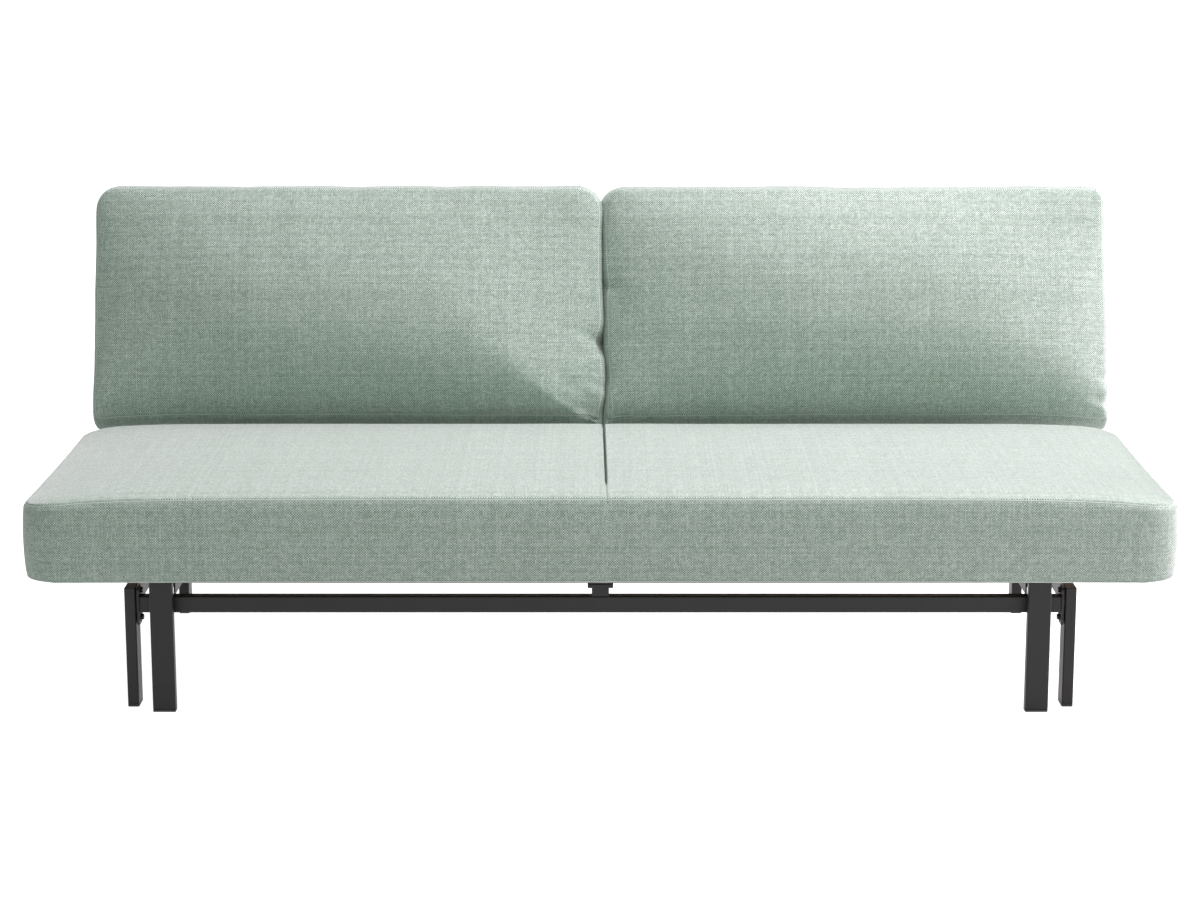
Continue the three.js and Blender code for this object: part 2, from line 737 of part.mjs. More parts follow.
function boardShape(margin) {
  const x = seatWidth / 2 - boardInset + margin;
  const front = boardInset - margin;
  return roundedRectangle(-x, front, x, seatDepth - front, boardCornerRadius + margin);
}

function seatPadWithPocket() {
  const pocket = alongZ(boardShape(boardFit), seatUnderside - overrun, seatUnderside + boardThickness);
  const slit = new THREE.Shape([
    new THREE.Vector2(-slitWidth / 2, seatEdgeHeight + seatCrown + overrun),
    new THREE.Vector2(0, seatEdgeHeight + seatCrown - slitDepth),
    new THREE.Vector2(slitWidth / 2, seatEdgeHeight + seatCrown + overrun),
  ]);
  return cut(seatPad(), pocket, alongY(slit, slitFrontMargin, seatDepth + overrun));
}

function seatBoard() {
  const board = boardShape(0);
  const pitch = seatWidth / (boardHoleCount + 1);
  for (let i = 1; i <= boardHoleCount; i += 1) {
    const x = -seatWidth / 2 + pitch * i;
    for (const y of [seatDepth / 3, (seatDepth * 2) / 3]) {
      board.holes.push(disc(x, y, boardHoleRadius, holeSteps));
    }
  }
  return alongZ(board, seatUnderside, seatUnderside + boardThickness);
}

// A loose box cushion in the back's own space: flat against the slats, crowned to the front
function backCushion(side) {
  const halfWidth = cushionWidth / 2 - cushionSideBulge;
  const halfHeight = cushionHeight / 2 - cushionSideBulge;
  const topRadiusAt = (sx) => (sx === side ? cushionOuterCornerRadius : cushionInnerCornerRadius);
  const radiusAt = (sx, sy) => (sy > 0 ? topRadiusAt(sx) : cushionFootCornerRadius);
  const outline = padOutline(halfWidth, halfHeight, radiusAt, cushionDrawIn, cushionLongSteps, padShortSteps);
  // The crest lies a little below the middle. The crown falls off to the foot, and in part to the top
  const upwards = (y) => {
    const fromCrest = y + cushionCrestDrop;
    if (fromCrest < 0) return fullness(fromCrest, halfHeight - cushionCrestDrop, cushionCrownPowerFoot);
    const over = fullness(fromCrest, halfHeight + cushionCrestDrop, cushionCrownPowerTop);
    return cushionCrownTopShare + (1 - cushionCrownTopShare) * over;
  };
  const full = (x, y) => cushionThickness
    + cushionCrown * fullness(x, halfWidth, cushionCrownPowerAcross) * upwards(y);
  const rings = [
    { out: -cushionEdgeRound, share: 1, height: () => 0 },
    { out: 0, share: 1, height: () => cushionEdgeRound },
    { out: cushionSideBulge, share: 1, height: () => cushionThickness / 2 },
    { out: 0, share: 1, height: () => cushionThickness - cushionEdgeRound },
    { out: -cushionEdgeRound, share: 1, height: () => cushionThickness },
    ...crownRingShares.map((share) => ({ out: -cushionEdgeRound, share, height: full })),
  ];
  const pad = padForm(outline, rings);
  // Plan X stays X, plan Y runs up the back, and the height runs to the front
  pad.applyMatrix4(new THREE.Matrix4().makeBasis(
    new THREE.Vector3(1, 0, 0), new THREE.Vector3(0, 0, 1), new THREE.Vector3(0, -1, 0)));
  const sideways = side * (cushionWidth + cushionCentreGap) / 2;
  pad.translate(sideways, -slatFace - softGap, cushionFoot + cushionHeight / 2);
  const space = backSpace();
  space.updateMatrix();
  const toBack = space.matrix.clone().invert();
  const seat = seatPad(softGap).applyMatrix4(toBack);
  return cut(pad, seat);
}

// Back frame members, in the back's own space
function backUpright() {
  return legTube(uprightInside, frameFront, uprightOutside, frameRear, backUprightFoot, backFrameLength);
}

function backRail(foot, halfLength) {
  return alongX(tubeSection(frameFront, foot, frameRear, foot + backRailHeight), -halfLength, halfLength);
}

function backSlat(index) {
  const pitch = (2 * uprightInside) / slatCount;
  const middle = -uprightInside + pitch * (index + 0.5);
  const top = backFrameLength + slatOverhang;
  const shape = roundedRectangle(
    middle - slatWidth / 2, backBottomRailFoot - slatOverhang, middle + slatWidth / 2, top, slatCornerRadius);
  return alongY(shape, -slatFace, -slatFace + slatThickness);
}

// The object
const sofa = new THREE.Group();

function add(name, geometry, material, group = sofa) {
  const mesh = new THREE.Mesh(geometry, material);
  mesh.name = name;
  group.add(mesh);
  return mesh;
}

// A piece drawn for the right side, and its mirror image on the left
function addPair(name, geometry, material, group = sofa) {
  add(`${name}_right`, geometry, material(), group);
  add(`${name}_left`, mirrored(geometry), material(), group);
}

// Fixed base
const legRows = [['front', baseFront], ['rear', baseRear - legWide]];
for (const [row, y] of legRows) {
  const leg = [baseInside, y, baseHalfWidth, y + legWide];
  addPair(`base_${row}_leg`, legTube(...leg, glideFoot, baseHeight), powderCoat);
  addPair(`base_${row}_glide`, footGlide(...leg), blackPlastic);
}
const sideBar = tubeSection(baseInside, baseHeight - legWide, baseHalfWidth, baseHeight);
addPair('base_side_bar', alongY(sideBar, baseFront + legWide, baseRear - legWide), powderCoat);
addPair('bed_stop', bedStop(), rubber);
const railRows = [
  ['front', baseFront, baseFront],
  ['rear', baseRear - crossRailDepth, baseRear - endPlateDepth],
];
for (const [row, railY, plateY] of railRows) {
  const section = tubeSection(railY, crossRailUnderside, railY + crossRailDepth, railTop);
  add(`${row}_cross_rail`, alongX(section, -endPlateInside, endPlateInside), powderCoat());
  addPair(`${row}_rail_end_plate`, railEndPlate(plateY), powderCoat);
}
add('centre_post', centrePost(), powderCoat());
add('centre_glide_pad', centreGlidePad(), blackPlastic());
addPair('slide_track', slideTrack(), powderCoat);

// Pull-out carriage
const pullLeg = [pullLegInside, pullLegFront, pullLegInside + legWide, carriageFront];
addPair('pull_leg', legTube(...pullLeg, glideFoot, seatUnderside), powderCoat);
addPair('pull_leg_glide', footGlide(...pullLeg), blackPlastic);
const carriageBar = tubeSection(pullLegInside, carriageBarUnderside, carriageBarOutside, seatUnderside);
addPair('carriage_side_bar', alongY(carriageBar, carriageFront, carriageRear), powderCoat);
const crossBarRows = [
  ['front', carriageFront],
  ['rear', seatDepth - boardInset - rearBarFromBoardEdge - carriageCrossDepth],
];
for (const [row, y] of crossBarRows) {
  const section = tubeSection(y, carriageBarUnderside, y + carriageCrossDepth, seatUnderside);
  add(`carriage_${row}_bar`, alongX(section, -pullLegInside, pullLegInside), powderCoat());
}
const centreSection = tubeSection(
  -carriageCentreWidth / 2, carriageBarUnderside, carriageCentreWidth / 2, seatUnderside);
const centreBar = alongY(centreSection, carriageFront + carriageCrossDepth, crossBarRows[1][1]);
add('carriage_centre_bar', centreBar, powderCoat());
add('seat_board', seatBoard(), plywood());
add('seat_pad', seatPadWithPocket(), sageFabric());
addPair('hinge_fixed_plate', hingeFixedPlate(), zinc);
addPair('hinge_pin', hingePin(), zinc);
addPair('pawl_spring', pawlSpring(), zinc);
addPair('front_roller', roller(frontRollerY), blackPlastic);
addPair('rear_roller', roller(rearRollerY), blackPlastic);

// Pawls, held just clear of the teeth
const pawlSpace = new THREE.Group();
pawlSpace.position.set(0, hingeY + pawlStud.x, hingeHeight + pawlStud.y);
pawlSpace.rotation.x = -THREE.MathUtils.degToRad(pawlLiftAngle);
addPair('hinge_pawl', hingePawl(), zinc, pawlSpace);
sofa.add(pawlSpace);

// Folding back
const back = backSpace();
addPair('back_upright', backUpright(), powderCoat, back);
add('back_bottom_rail', backRail(backBottomRailFoot, sectorInside), powderCoat(), back);
add('back_top_rail', backRail(backFrameLength - backRailHeight, uprightInside), powderCoat(), back);
addPair('hinge_sector', hingeSector(), zinc, back);
for (let i = 0; i < slatCount; i += 1) add(`back_slat_${i + 1}`, backSlat(i), beech(), back);
add('back_cushion_left', backCushion(-1), sageFabric(), back);
add('back_cushion_right', backCushion(1), sageFabric(), back);
sofa.add(back);

// The origin lies on the floor, below the middle of the whole object
sofa.updateMatrixWorld(true);
const middle = new THREE.Box3().setFromObject(sofa, true).getCenter(new THREE.Vector3());
const model = new THREE.Group();
sofa.position.set(-middle.x, -middle.y, 0);
model.add(sofa);

export default model;
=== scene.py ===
import json
import math

import bpy
import numpy as np
from mathutils import Matrix, Vector, noise
from mathutils.bvhtree import BVHTree
from mathutils.kdtree import KDTree


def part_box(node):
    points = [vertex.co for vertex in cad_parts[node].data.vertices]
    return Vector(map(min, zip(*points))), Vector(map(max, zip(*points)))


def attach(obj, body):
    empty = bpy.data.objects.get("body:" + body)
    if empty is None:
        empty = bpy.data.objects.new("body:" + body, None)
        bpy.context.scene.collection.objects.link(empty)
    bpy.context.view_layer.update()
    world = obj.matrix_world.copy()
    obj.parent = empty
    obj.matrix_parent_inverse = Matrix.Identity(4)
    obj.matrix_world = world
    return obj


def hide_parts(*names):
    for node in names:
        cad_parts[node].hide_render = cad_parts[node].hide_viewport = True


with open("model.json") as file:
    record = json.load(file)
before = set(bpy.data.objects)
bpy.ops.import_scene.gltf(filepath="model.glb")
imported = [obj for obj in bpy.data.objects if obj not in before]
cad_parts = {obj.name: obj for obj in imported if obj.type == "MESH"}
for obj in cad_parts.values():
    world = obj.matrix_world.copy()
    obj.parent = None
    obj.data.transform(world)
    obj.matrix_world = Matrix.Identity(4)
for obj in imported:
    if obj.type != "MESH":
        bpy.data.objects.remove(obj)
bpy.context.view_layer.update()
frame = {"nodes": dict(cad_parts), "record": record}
nodes = frame["nodes"]
MM = 0.001

# The photograph's camera, in its 1200 by 900 frame
PHOTO_WIDTH = 1200
SENSOR = 36.0
CAMERA_DISTANCE = 4.131
CAMERA_HEIGHT = 1.480
CAMERA_FOCAL_PX = 2507.9
CAMERA_PITCH = math.radians(10.789)
CAMERA_SHIFT = -0.1
PRINCIPAL_OFFSET_PX = 0.4

# The back's hinge line and lean
BACK_LEAN = math.radians(17)
HINGE_Y = 0.256365
HINGE_Z = 0.243
BACK_RAIL_HALF = 10 * MM
SLAT_COUNT = 6

# Both cushions. Foot and rear are their distances from the hinge line, up the back and in front of it
CUSHION_FOOT = 124.1 * MM
CUSHION_REAR = 12.3 * MM
CUSHION_WIDTH = 992 * MM
CUSHION_HEIGHT = 470 * MM
CUSHION_THICKNESS = 100 * MM
CUSHION_CELL = 10 * MM
CUSHION_EDGE = 5 * MM
CUSHION_DRAW_IN = 2 * MM
CUSHION_BULGE = 8 * MM
CUSHION_GAP = 3 * MM
CUSHION_SWELL = 3.5 * MM
CUSHION_SEAM_DEPTH = 2.2 * MM
CUSHION_SEAM_REACH = 6 * MM
CUSHION_UNEVENNESS = 2.2 * MM
CUSHION_UNEVEN_SCALE = 130 * MM

# The cushions' crown, and how it runs out to the foot
CUSHION_CROWN = 66 * MM
CUSHION_CREST = -0.05
CREST_TURN = 0.15
CREST_SOFTNESS = 0.20
CUSHION_FOOT_POWER = 1.35
CUSHION_FOOT_LIFT = 11 * MM
CUSHION_INNER_FOOT = 19 * MM
CUSHION_OUTER_FOOT = 15 * MM
CUSHION_FOOT_ROUND = 14 * MM
CUSHION_FOOT_ROUND_REACH = 22 * MM

# The face at which the two cushions meet
CONTACT_HALF_GAP = 0.4 * MM
CONTACT_SEAM_GAP = 2.6 * MM
CONTACT_REACH = 80 * MM
CONTACT_SHIFT = 6.5 * MM
CONTACT_WAVE = 3 * MM
CONTACT_WAVE_LENGTH = 520 * MM
CONTACT_CORNER = 26 * MM
CONTACT_TOP_FADE = 60 * MM
CONTACT_DEEP_WAVE = 4 * MM
CONTACT_DEEP_LENGTH = 15 * MM
CONTACT_DEEP_PHASE = 0.8

# How the cushions' feet rest on the seat
REST_GAP = 0.4 * MM
FOOT_LINE = 0.97
FOOT_LEVEL_AT = 0.5
FOOT_SAG_OFFSET = 40 * MM
FOOT_SAG_REACH = 120 * MM

# What differs between the two cushions: corner radii, and how the crown runs out at the top
CUSHIONS = {
    "left": {
        "side": -1, "outer": 50 * MM, "inner": 46 * MM, "top_power": 1.2, "top_share": 0.22,
        "left_power": 2.3, "right_power": 2.7, "crest_tilt": -0.22, "crest_fall": 0.95,
    },
    "right": {
        "side": 1, "outer": 34 * MM, "inner": 42 * MM, "top_power": 1.9, "top_share": 0.04,
        "left_power": 2.0, "right_power": 3.3, "crest_tilt": -0.06, "crest_fall": 0.60,
    },
}

# Seat pad
SEAT_CELL = 12 * MM
SEAT_CORNER = 70 * MM
SEAT_EDGE = 6 * MM
SEAT_DRAW_IN = 4 * MM
SEAT_BULGE = 3 * MM
SEAT_CROWN = 10 * MM
SEAT_DROOP = 12 * MM
SEAT_FRONT_RISE = 6 * MM
SEAT_THICKNESS = 148 * MM
SEAT_SWELL = 2.5 * MM
SEAT_SEAM_DEPTH = 2.6 * MM
SEAT_SEAM_REACH = 7 * MM
BOARD_SINK = 9 * MM
BOARD_MARGIN = 16 * MM

# The slit in the seat pad, and the fine seam that goes on from it to the front
SLIT_COLUMNS = (0.0, 1.1 * MM, 2.2 * MM, 3.6 * MM, 6 * MM, 10 * MM)
SLIT_DEPTH = 24 * MM
SLIT_HALF_WIDTH = 2.2 * MM
SLIT_LIP = 9 * MM
SLIT_LIP_DEPTH = 3.2 * MM
SLIT_FRONT_RAMP = 30 * MM
SLIT_REAR_RAMP = 12 * MM
SLIT_FRONT_MARGIN = 80 * MM
SLIT_REAR_MARGIN = 6 * MM
SLIT_SEAM_DEPTH = 3.2 * MM
SLIT_SHIFT = 8.6 * MM
SLIT_SLANT = 2.4 * MM
SLIT_SHIFT_REACH = 120 * MM
SLIT_CLEAR = 14 * MM
SLIT_ABOVE = 0.6 * SEAT_THICKNESS

# Sewing: SEAM_RING is the seam's place among the loops of a pad's sides, counted from either panel
SEAM_RING = 2
SEAM_CORD_RADIUS = 1.1 * MM
SEAM_CORD_LIFT = 0.5 * MM
SEWING_PITCH = 6 * MM
STITCH_SHARE = 0.68
STITCH_RADIUS = 0.5 * MM
# How far the rows lie from the loop beside the seam to the next one
TOP_ROW = 0.15
BOTTOM_ROW = 0.35
# Along each stitch: how far, how thick, and how high over the cover
STITCH_PROFILE = ((0.0, 0.2, -0.5), (0.18, 0.9, 0.2), (0.5, 1.0, 0.5), (0.82, 0.9, 0.2), (1.0, 0.2, -0.5))

# The cloth and the filling that swells it
CLOTH = {
    "quality": 5, "mass": 0.3, "tension_stiffness": 12, "compression_stiffness": 12, "shear_stiffness": 4,
    "bending_stiffness": 0.6, "use_pressure": True, "uniform_pressure_force": 3.0, "pin_stiffness": 1.0,
}
SWELL_FRAMES = 20

# The sides of a pad. The panel's lip goes out by shares of the edge and falls by shares of it, then comes the
# boxing in even steps.
LIP = ((0.45, 0.2), (0.62, 0.75), (1.0, 1.35))
BOXING_STEPS = 10


# Materials. A Shader is a small helper that adds nodes and links to one material.
class Shader:
    def __init__(self, name):
        self.material = bpy.data.materials.new(name)
        self.material.use_nodes = True
        self.tree = self.material.node_tree
        self.bsdf = self.tree.nodes["Principled BSDF"]

    def node(self, kind, **values):
        made = self.tree.nodes.new(kind)
        for key, value in values.items():
            if hasattr(made, key):
                setattr(made, key, value)
            else:
                made.inputs[key].default_value = value
        return made

    def link(self, source, target):
        self.tree.links.new(source, target)

    def feed(self, made, places, values):
        """Gives a node's inputs their values: another node's output, a number or a colour."""
        for place, value in zip(places, values):
            if isinstance(value, bpy.types.NodeSocket):
                self.link(value, made.inputs[place])
            else:
                made.inputs[place].default_value = (*value, 1) if isinstance(value, tuple) else value

    def own_point(self):
        return self.node("ShaderNodeTexCoord").outputs["Object"]

    def math(self, operation, *values):
        made = self.node("ShaderNodeMath", operation=operation)
        self.feed(made, range(len(values)), values)
        return made.outputs[0]

    def pick(self, switch, if_zero, if_one):
        made = self.node("ShaderNodeMix", data_type="FLOAT")
        self.feed(made, (0, 2, 3), (switch, if_zero, if_one))
        return made.outputs[0]

    def coloured(self, factor, first, second):
        made = self.node("ShaderNodeMix", data_type="RGBA")
        self.feed(made, (0, 6, 7), (factor, first, second))
        self.link(made.outputs[2], self.bsdf.inputs["Base Color"])

    def noise(self, vector, scale, detail=2.0, roughness=0.5):
        made = self.node("ShaderNodeTexNoise", Scale=scale, Detail=detail, Roughness=roughness)
        self.link(vector, made.inputs["Vector"])
        return made.outputs[0]

    def white(self, vector):
        made = self.node("ShaderNodeTexWhiteNoise", noise_dimensions="3D")
        self.link(vector, made.inputs["Vector"])
        return made.outputs[0]

    def combine(self, x, y, z=0.0):
        made = self.node("ShaderNodeCombineXYZ")
        self.feed(made, range(3), (x, y, z))
        return made.outputs[0]

    def separate(self, vector):
        made = self.node("ShaderNodeSeparateXYZ")
        self.link(vector, made.inputs[0])
        return made.outputs

    def turned(self, vector, angle):
        made = self.node("ShaderNodeVectorRotate", rotation_type="X_AXIS")
        made.inputs["Angle"].default_value = angle
        self.link(vector, made.inputs["Vector"])
        return made.outputs[0]

    def bump(self, height, distance, strength=1.0):
        made = self.node("ShaderNodeBump", Distance=distance, Strength=strength)
        self.link(height, made.inputs["Height"])
        self.link(made.outputs[0], self.bsdf.inputs["Normal"])

    def rough_between(self, value, least, most):
        made = self.node("ShaderNodeMapRange")
        made.inputs["To Min"].default_value = least
        made.inputs["To Max"].default_value = most
        self.link(value, made.inputs["Value"])
        self.link(made.outputs[0], self.bsdf.inputs["Roughness"])


# Weave: a plain weave of melange yarns, light warp over darker weft, with painted shade in the gaps between the
# yarns
YARN_PITCH = 2.2 * MM
DASH_YARNS = 3.0
SAGE_DARK = (0.125, 0.200, 0.150)
SAGE_LIGHT = (0.810, 0.940, 0.850)
WARP_OVER_WEFT = 0.27
DASH_TONE = 0.34
YARN_TONE = 0.09
SPECK_TONE = 0.16
CLOUD_TONE = 0.04
# Painted shade in the gaps between the yarns
YARN_GAP_SHADE = 0.26


def woven_fabric(name, lean=0.0):
    """The yarns follow the piece's own directions, turned back by its lean."""
    s = Shader(name)
    place = s.node("ShaderNodeTexCoord")
    point = s.turned(place.outputs["Object"], lean)
    normal = s.turned(place.outputs["Normal"], lean)
    x, y, z = s.separate(point)
    nx, ny, nz = (s.math("ABSOLUTE", n) for n in s.separate(normal))
    side = s.math("GREATER_THAN", nx, s.math("MAXIMUM", ny, nz))
    top = s.math("GREATER_THAN", nz, s.math("MAXIMUM", nx, ny))
    across = s.math("DIVIDE", s.pick(side, x, y), YARN_PITCH)
    along = s.math("DIVIDE", s.pick(top, z, y), YARN_PITCH)
    warp = s.math("FLOOR", across)
    weft = s.math("FLOOR", along)
    checker = s.math("MODULO", s.math("ABSOLUTE", s.math("ADD", warp, weft)), 2.0)
    over = s.math("GREATER_THAN", checker, 0.5)

    def centred(value, amount):
        return s.math("MULTIPLY", s.math("SUBTRACT", value, 0.5), amount)

    def yarn(index, run, seed):
        offset = s.math("FLOOR", s.math("MULTIPLY", s.white(s.combine(index, seed)), 37.0))
        piece = s.math("FLOOR", s.math("DIVIDE", s.math("ADD", run, offset), DASH_YARNS))
        dash = centred(s.white(s.combine(index, piece, seed + 1.0)), DASH_TONE)
        return s.math("ADD", dash, centred(s.white(s.combine(index, seed + 2.0)), YARN_TONE * 2))

    across_round = s.math("ABSOLUTE", s.math("SINE", s.math("MULTIPLY", across, math.pi)))
    along_round = s.math("ABSOLUTE", s.math("SINE", s.math("MULTIPLY", along, math.pi)))
    height = s.math("MULTIPLY", across_round, along_round)
    # Painted shade: the tone darkens where the yarns' height falls away, in the gaps between them
    yarn_gap_shade = s.math("POWER", s.math("SUBTRACT", 1.0, height), 2.0)
    tone = s.math("ADD", 0.5, s.pick(over, yarn(warp, along, 1.0), yarn(weft, across, 11.0)))
    tone = s.math("ADD", tone, centred(over, WARP_OVER_WEFT * 2))
    tone = s.math("ADD", tone, centred(s.noise(point, 900.0, 2.0), SPECK_TONE))
    tone = s.math("ADD", tone, centred(s.noise(point, 9.0, 3.0), CLOUD_TONE))
    tone = s.math("SUBTRACT", tone, s.math("MULTIPLY", yarn_gap_shade, YARN_GAP_SHADE))
    s.coloured(tone, SAGE_DARK, SAGE_LIGHT)
    s.bsdf.inputs["Roughness"].default_value = 0.92
    s.bsdf.inputs["Specular IOR Level"].default_value = 0.18
    s.bsdf.inputs["Sheen Weight"].default_value = 0.8
    s.bsdf.inputs["Sheen Roughness"].default_value = 0.5
    s.bsdf.inputs["Sheen Tint"].default_value = (1.0, 1.0, 1.0, 1)
    raised = s.math("ADD", height, s.math("MULTIPLY", s.noise(point, 1500.0, 2.0), 0.5))
    s.bump(raised, 0.00035, 0.7)
    return s.material


def sewing_thread_and_seam_highlight():
    s = Shader("sage_thread_and_seam_highlight")
    point = s.own_point()
    twist = s.noise(point, 700.0, 2.0)
    # Lighter than the cover: the thread's own colour on the stitches, and a painted highlight on the seam cords
    s.coloured(twist, (0.40, 0.50, 0.43), (0.78, 0.86, 0.80))
    s.bsdf.inputs["Roughness"].default_value = 0.75
    s.bsdf.inputs["Sheen Weight"].default_value = 0.6
    s.bump(twist, 0.0002, 0.6)
    return s.material


def powder_coat():
    s = Shader("anthracite_powder_coat")
    point = s.own_point()
    cloud = s.noise(point, 14.0, 3.0)
    peel = s.noise(point, 1400.0, 2.0)
    s.coloured(cloud, (0.012, 0.012, 0.0125), (0.020, 0.020, 0.0205))
    s.bsdf.inputs["Specular IOR Level"].default_value = 0.28
    s.rough_between(cloud, 0.36, 0.52)
    s.bump(peel, 0.00008, 0.5)
    return s.material


def zinc():
    s = Shader("zinc_plating")
    point = s.own_point()
    x, y, z = s.separate(point)
    brushed = s.noise(s.combine(s.math("MULTIPLY", x, 30.0), y, s.math("MULTIPLY", z, 30.0)), 60.0, 3.0)
    cloud = s.noise(point, 45.0, 4.0)
    tone = s.math("MULTIPLY", s.math("ADD", brushed, cloud), 0.5)
    s.coloured(tone, (0.27, 0.28, 0.29), (0.48, 0.49, 0.49))
    s.bsdf.inputs["Metallic"].default_value = 0.95
    s.rough_between(cloud, 0.28, 0.50)
    s.bump(brushed, 0.00005, 0.4)
    return s.material


def grained_plastic(name, color, roughness):
    s = Shader(name)
    point = s.own_point()
    grain = s.noise(point, 2600.0, 1.0)
    cloud = s.noise(point, 30.0, 2.0)
    s.coloured(cloud, color, tuple(c * 1.5 for c in color))
    s.bsdf.inputs["Roughness"].default_value = roughness
    s.bump(grain, 0.00006, 0.6)
    return s.material


GRAIN_STRETCH = 14.0


def wood(name, dark, light, up_the_back, ring_scale):
    """Wood whose grain runs up the leaning back, or else along the width."""
    s = Shader(name)
    x, y, z = s.separate(s.turned(s.own_point(), BACK_LEAN if up_the_back else 0.0))
    narrow_y = s.math("MULTIPLY", y, GRAIN_STRETCH)
    narrow = s.math("MULTIPLY", x if up_the_back else z, GRAIN_STRETCH)
    stretched = s.combine(narrow, narrow_y, z) if up_the_back else s.combine(x, narrow_y, narrow)
    wander = s.noise(stretched, 1.6, 3.0)
    wander = s.math("ADD", wander, s.math("MULTIPLY", s.noise(stretched, 6.0), 0.12))
    bands = s.math("SINE", s.math("MULTIPLY", wander, ring_scale))
    fibre = s.noise(stretched, 60.0, 4.0, 0.7)
    tone = s.math("ADD", s.math("MULTIPLY", s.math("ADD", bands, 1.0), 0.22), s.math("MULTIPLY", fibre, 0.55))
    s.coloured(tone, dark, light)
    s.bsdf.inputs["Roughness"].default_value = 0.48
    s.bump(fibre, 0.0001, 0.4)
    return s.material


seat_fabric = woven_fabric("sage_weave_seat")
cushion_fabric = woven_fabric("sage_weave_cushion", BACK_LEAN)
thread_and_seam_highlight = sewing_thread_and_seam_highlight()
coating = powder_coat()
plating = zinc()
nylon = grained_plastic("black_nylon", (0.014, 0.014, 0.014), 0.45)
stop_rubber = grained_plastic("stop_rubber", (0.018, 0.018, 0.018), 0.8)
beech = wood("beech_lacquered", (0.50, 0.33, 0.19), (0.80, 0.62, 0.42), True, 40.0)
plywood = wood("birch_plywood", (0.46, 0.32, 0.19), (0.74, 0.58, 0.40), False, 30.0)
finishes = {
    "sage_fabric": seat_fabric, "frame_coating": coating, "fitting_zinc": plating, "black_nylon": nylon,
    "stop_rubber": stop_rubber, "slat_beech": beech, "board_plywood": plywood,
}


EDGE_WIDTH = 0.5 * MM
EDGE_ANGLE = math.radians(35)


def dress_cad_nodes():
    """Every CAD node gets its finish and softly rounded sharp edges."""
    for entry in frame["record"]["subparts"]:
        node = nodes[entry["node"]]
        node.data.materials.clear()
        node.data.materials.append(finishes[entry["material_slot"]])
        bevel = node.modifiers.new("edges", "BEVEL")
        bevel.width = EDGE_WIDTH
        bevel.segments = 2
        bevel.limit_method = "ANGLE"
        bevel.angle_limit = EDGE_ANGLE


def put(name, data):
    """A new object of the scene, from a mesh, a lamp or a camera."""
    made = bpy.data.objects.new(name, data)
    bpy.context.scene.collection.objects.link(made)
    return made


def mesh_object(name, points, faces):
    mesh = bpy.data.meshes.new(name)
    mesh.from_pydata(points, [], faces)
    mesh.update()
    return put(name, mesh)


# Soft forms
def rounded_plan(x, y, half_x, half_y, corners):
    """Moves a point of a rectangle to its place in the same rectangle with a round corner of its own each."""
    corner = corners[x > 0, y > 0]
    over_x = max(abs(x) - (half_x - corner), 0.0)
    over_y = max(abs(y) - (half_y - corner), 0.0)
    if over_x > 0 and over_y > 0:
        shrink = max(over_x, over_y) / math.hypot(over_x, over_y)
        over_x *= shrink
        over_y *= shrink
    new_x = min(abs(x), half_x - corner) + over_x
    new_y = min(abs(y), half_y - corner) + over_y
    return math.copysign(new_x, x), math.copysign(new_y, y)


def spaced(half, cell, extra=()):
    """Evenly spaced places from -half to half, with extra places near the middle in place of the even ones."""
    count = max(2, round(2 * half / cell))
    places = [-half + 2 * half * i / count for i in range(count + 1)]
    if extra:
        reach = max(extra) + cell * 0.45
        places = [p for p in places if abs(p) > reach]
        places += [s * e for e in extra for s in (-1, 1) if e > 0] + [0.0]
    return sorted(places)


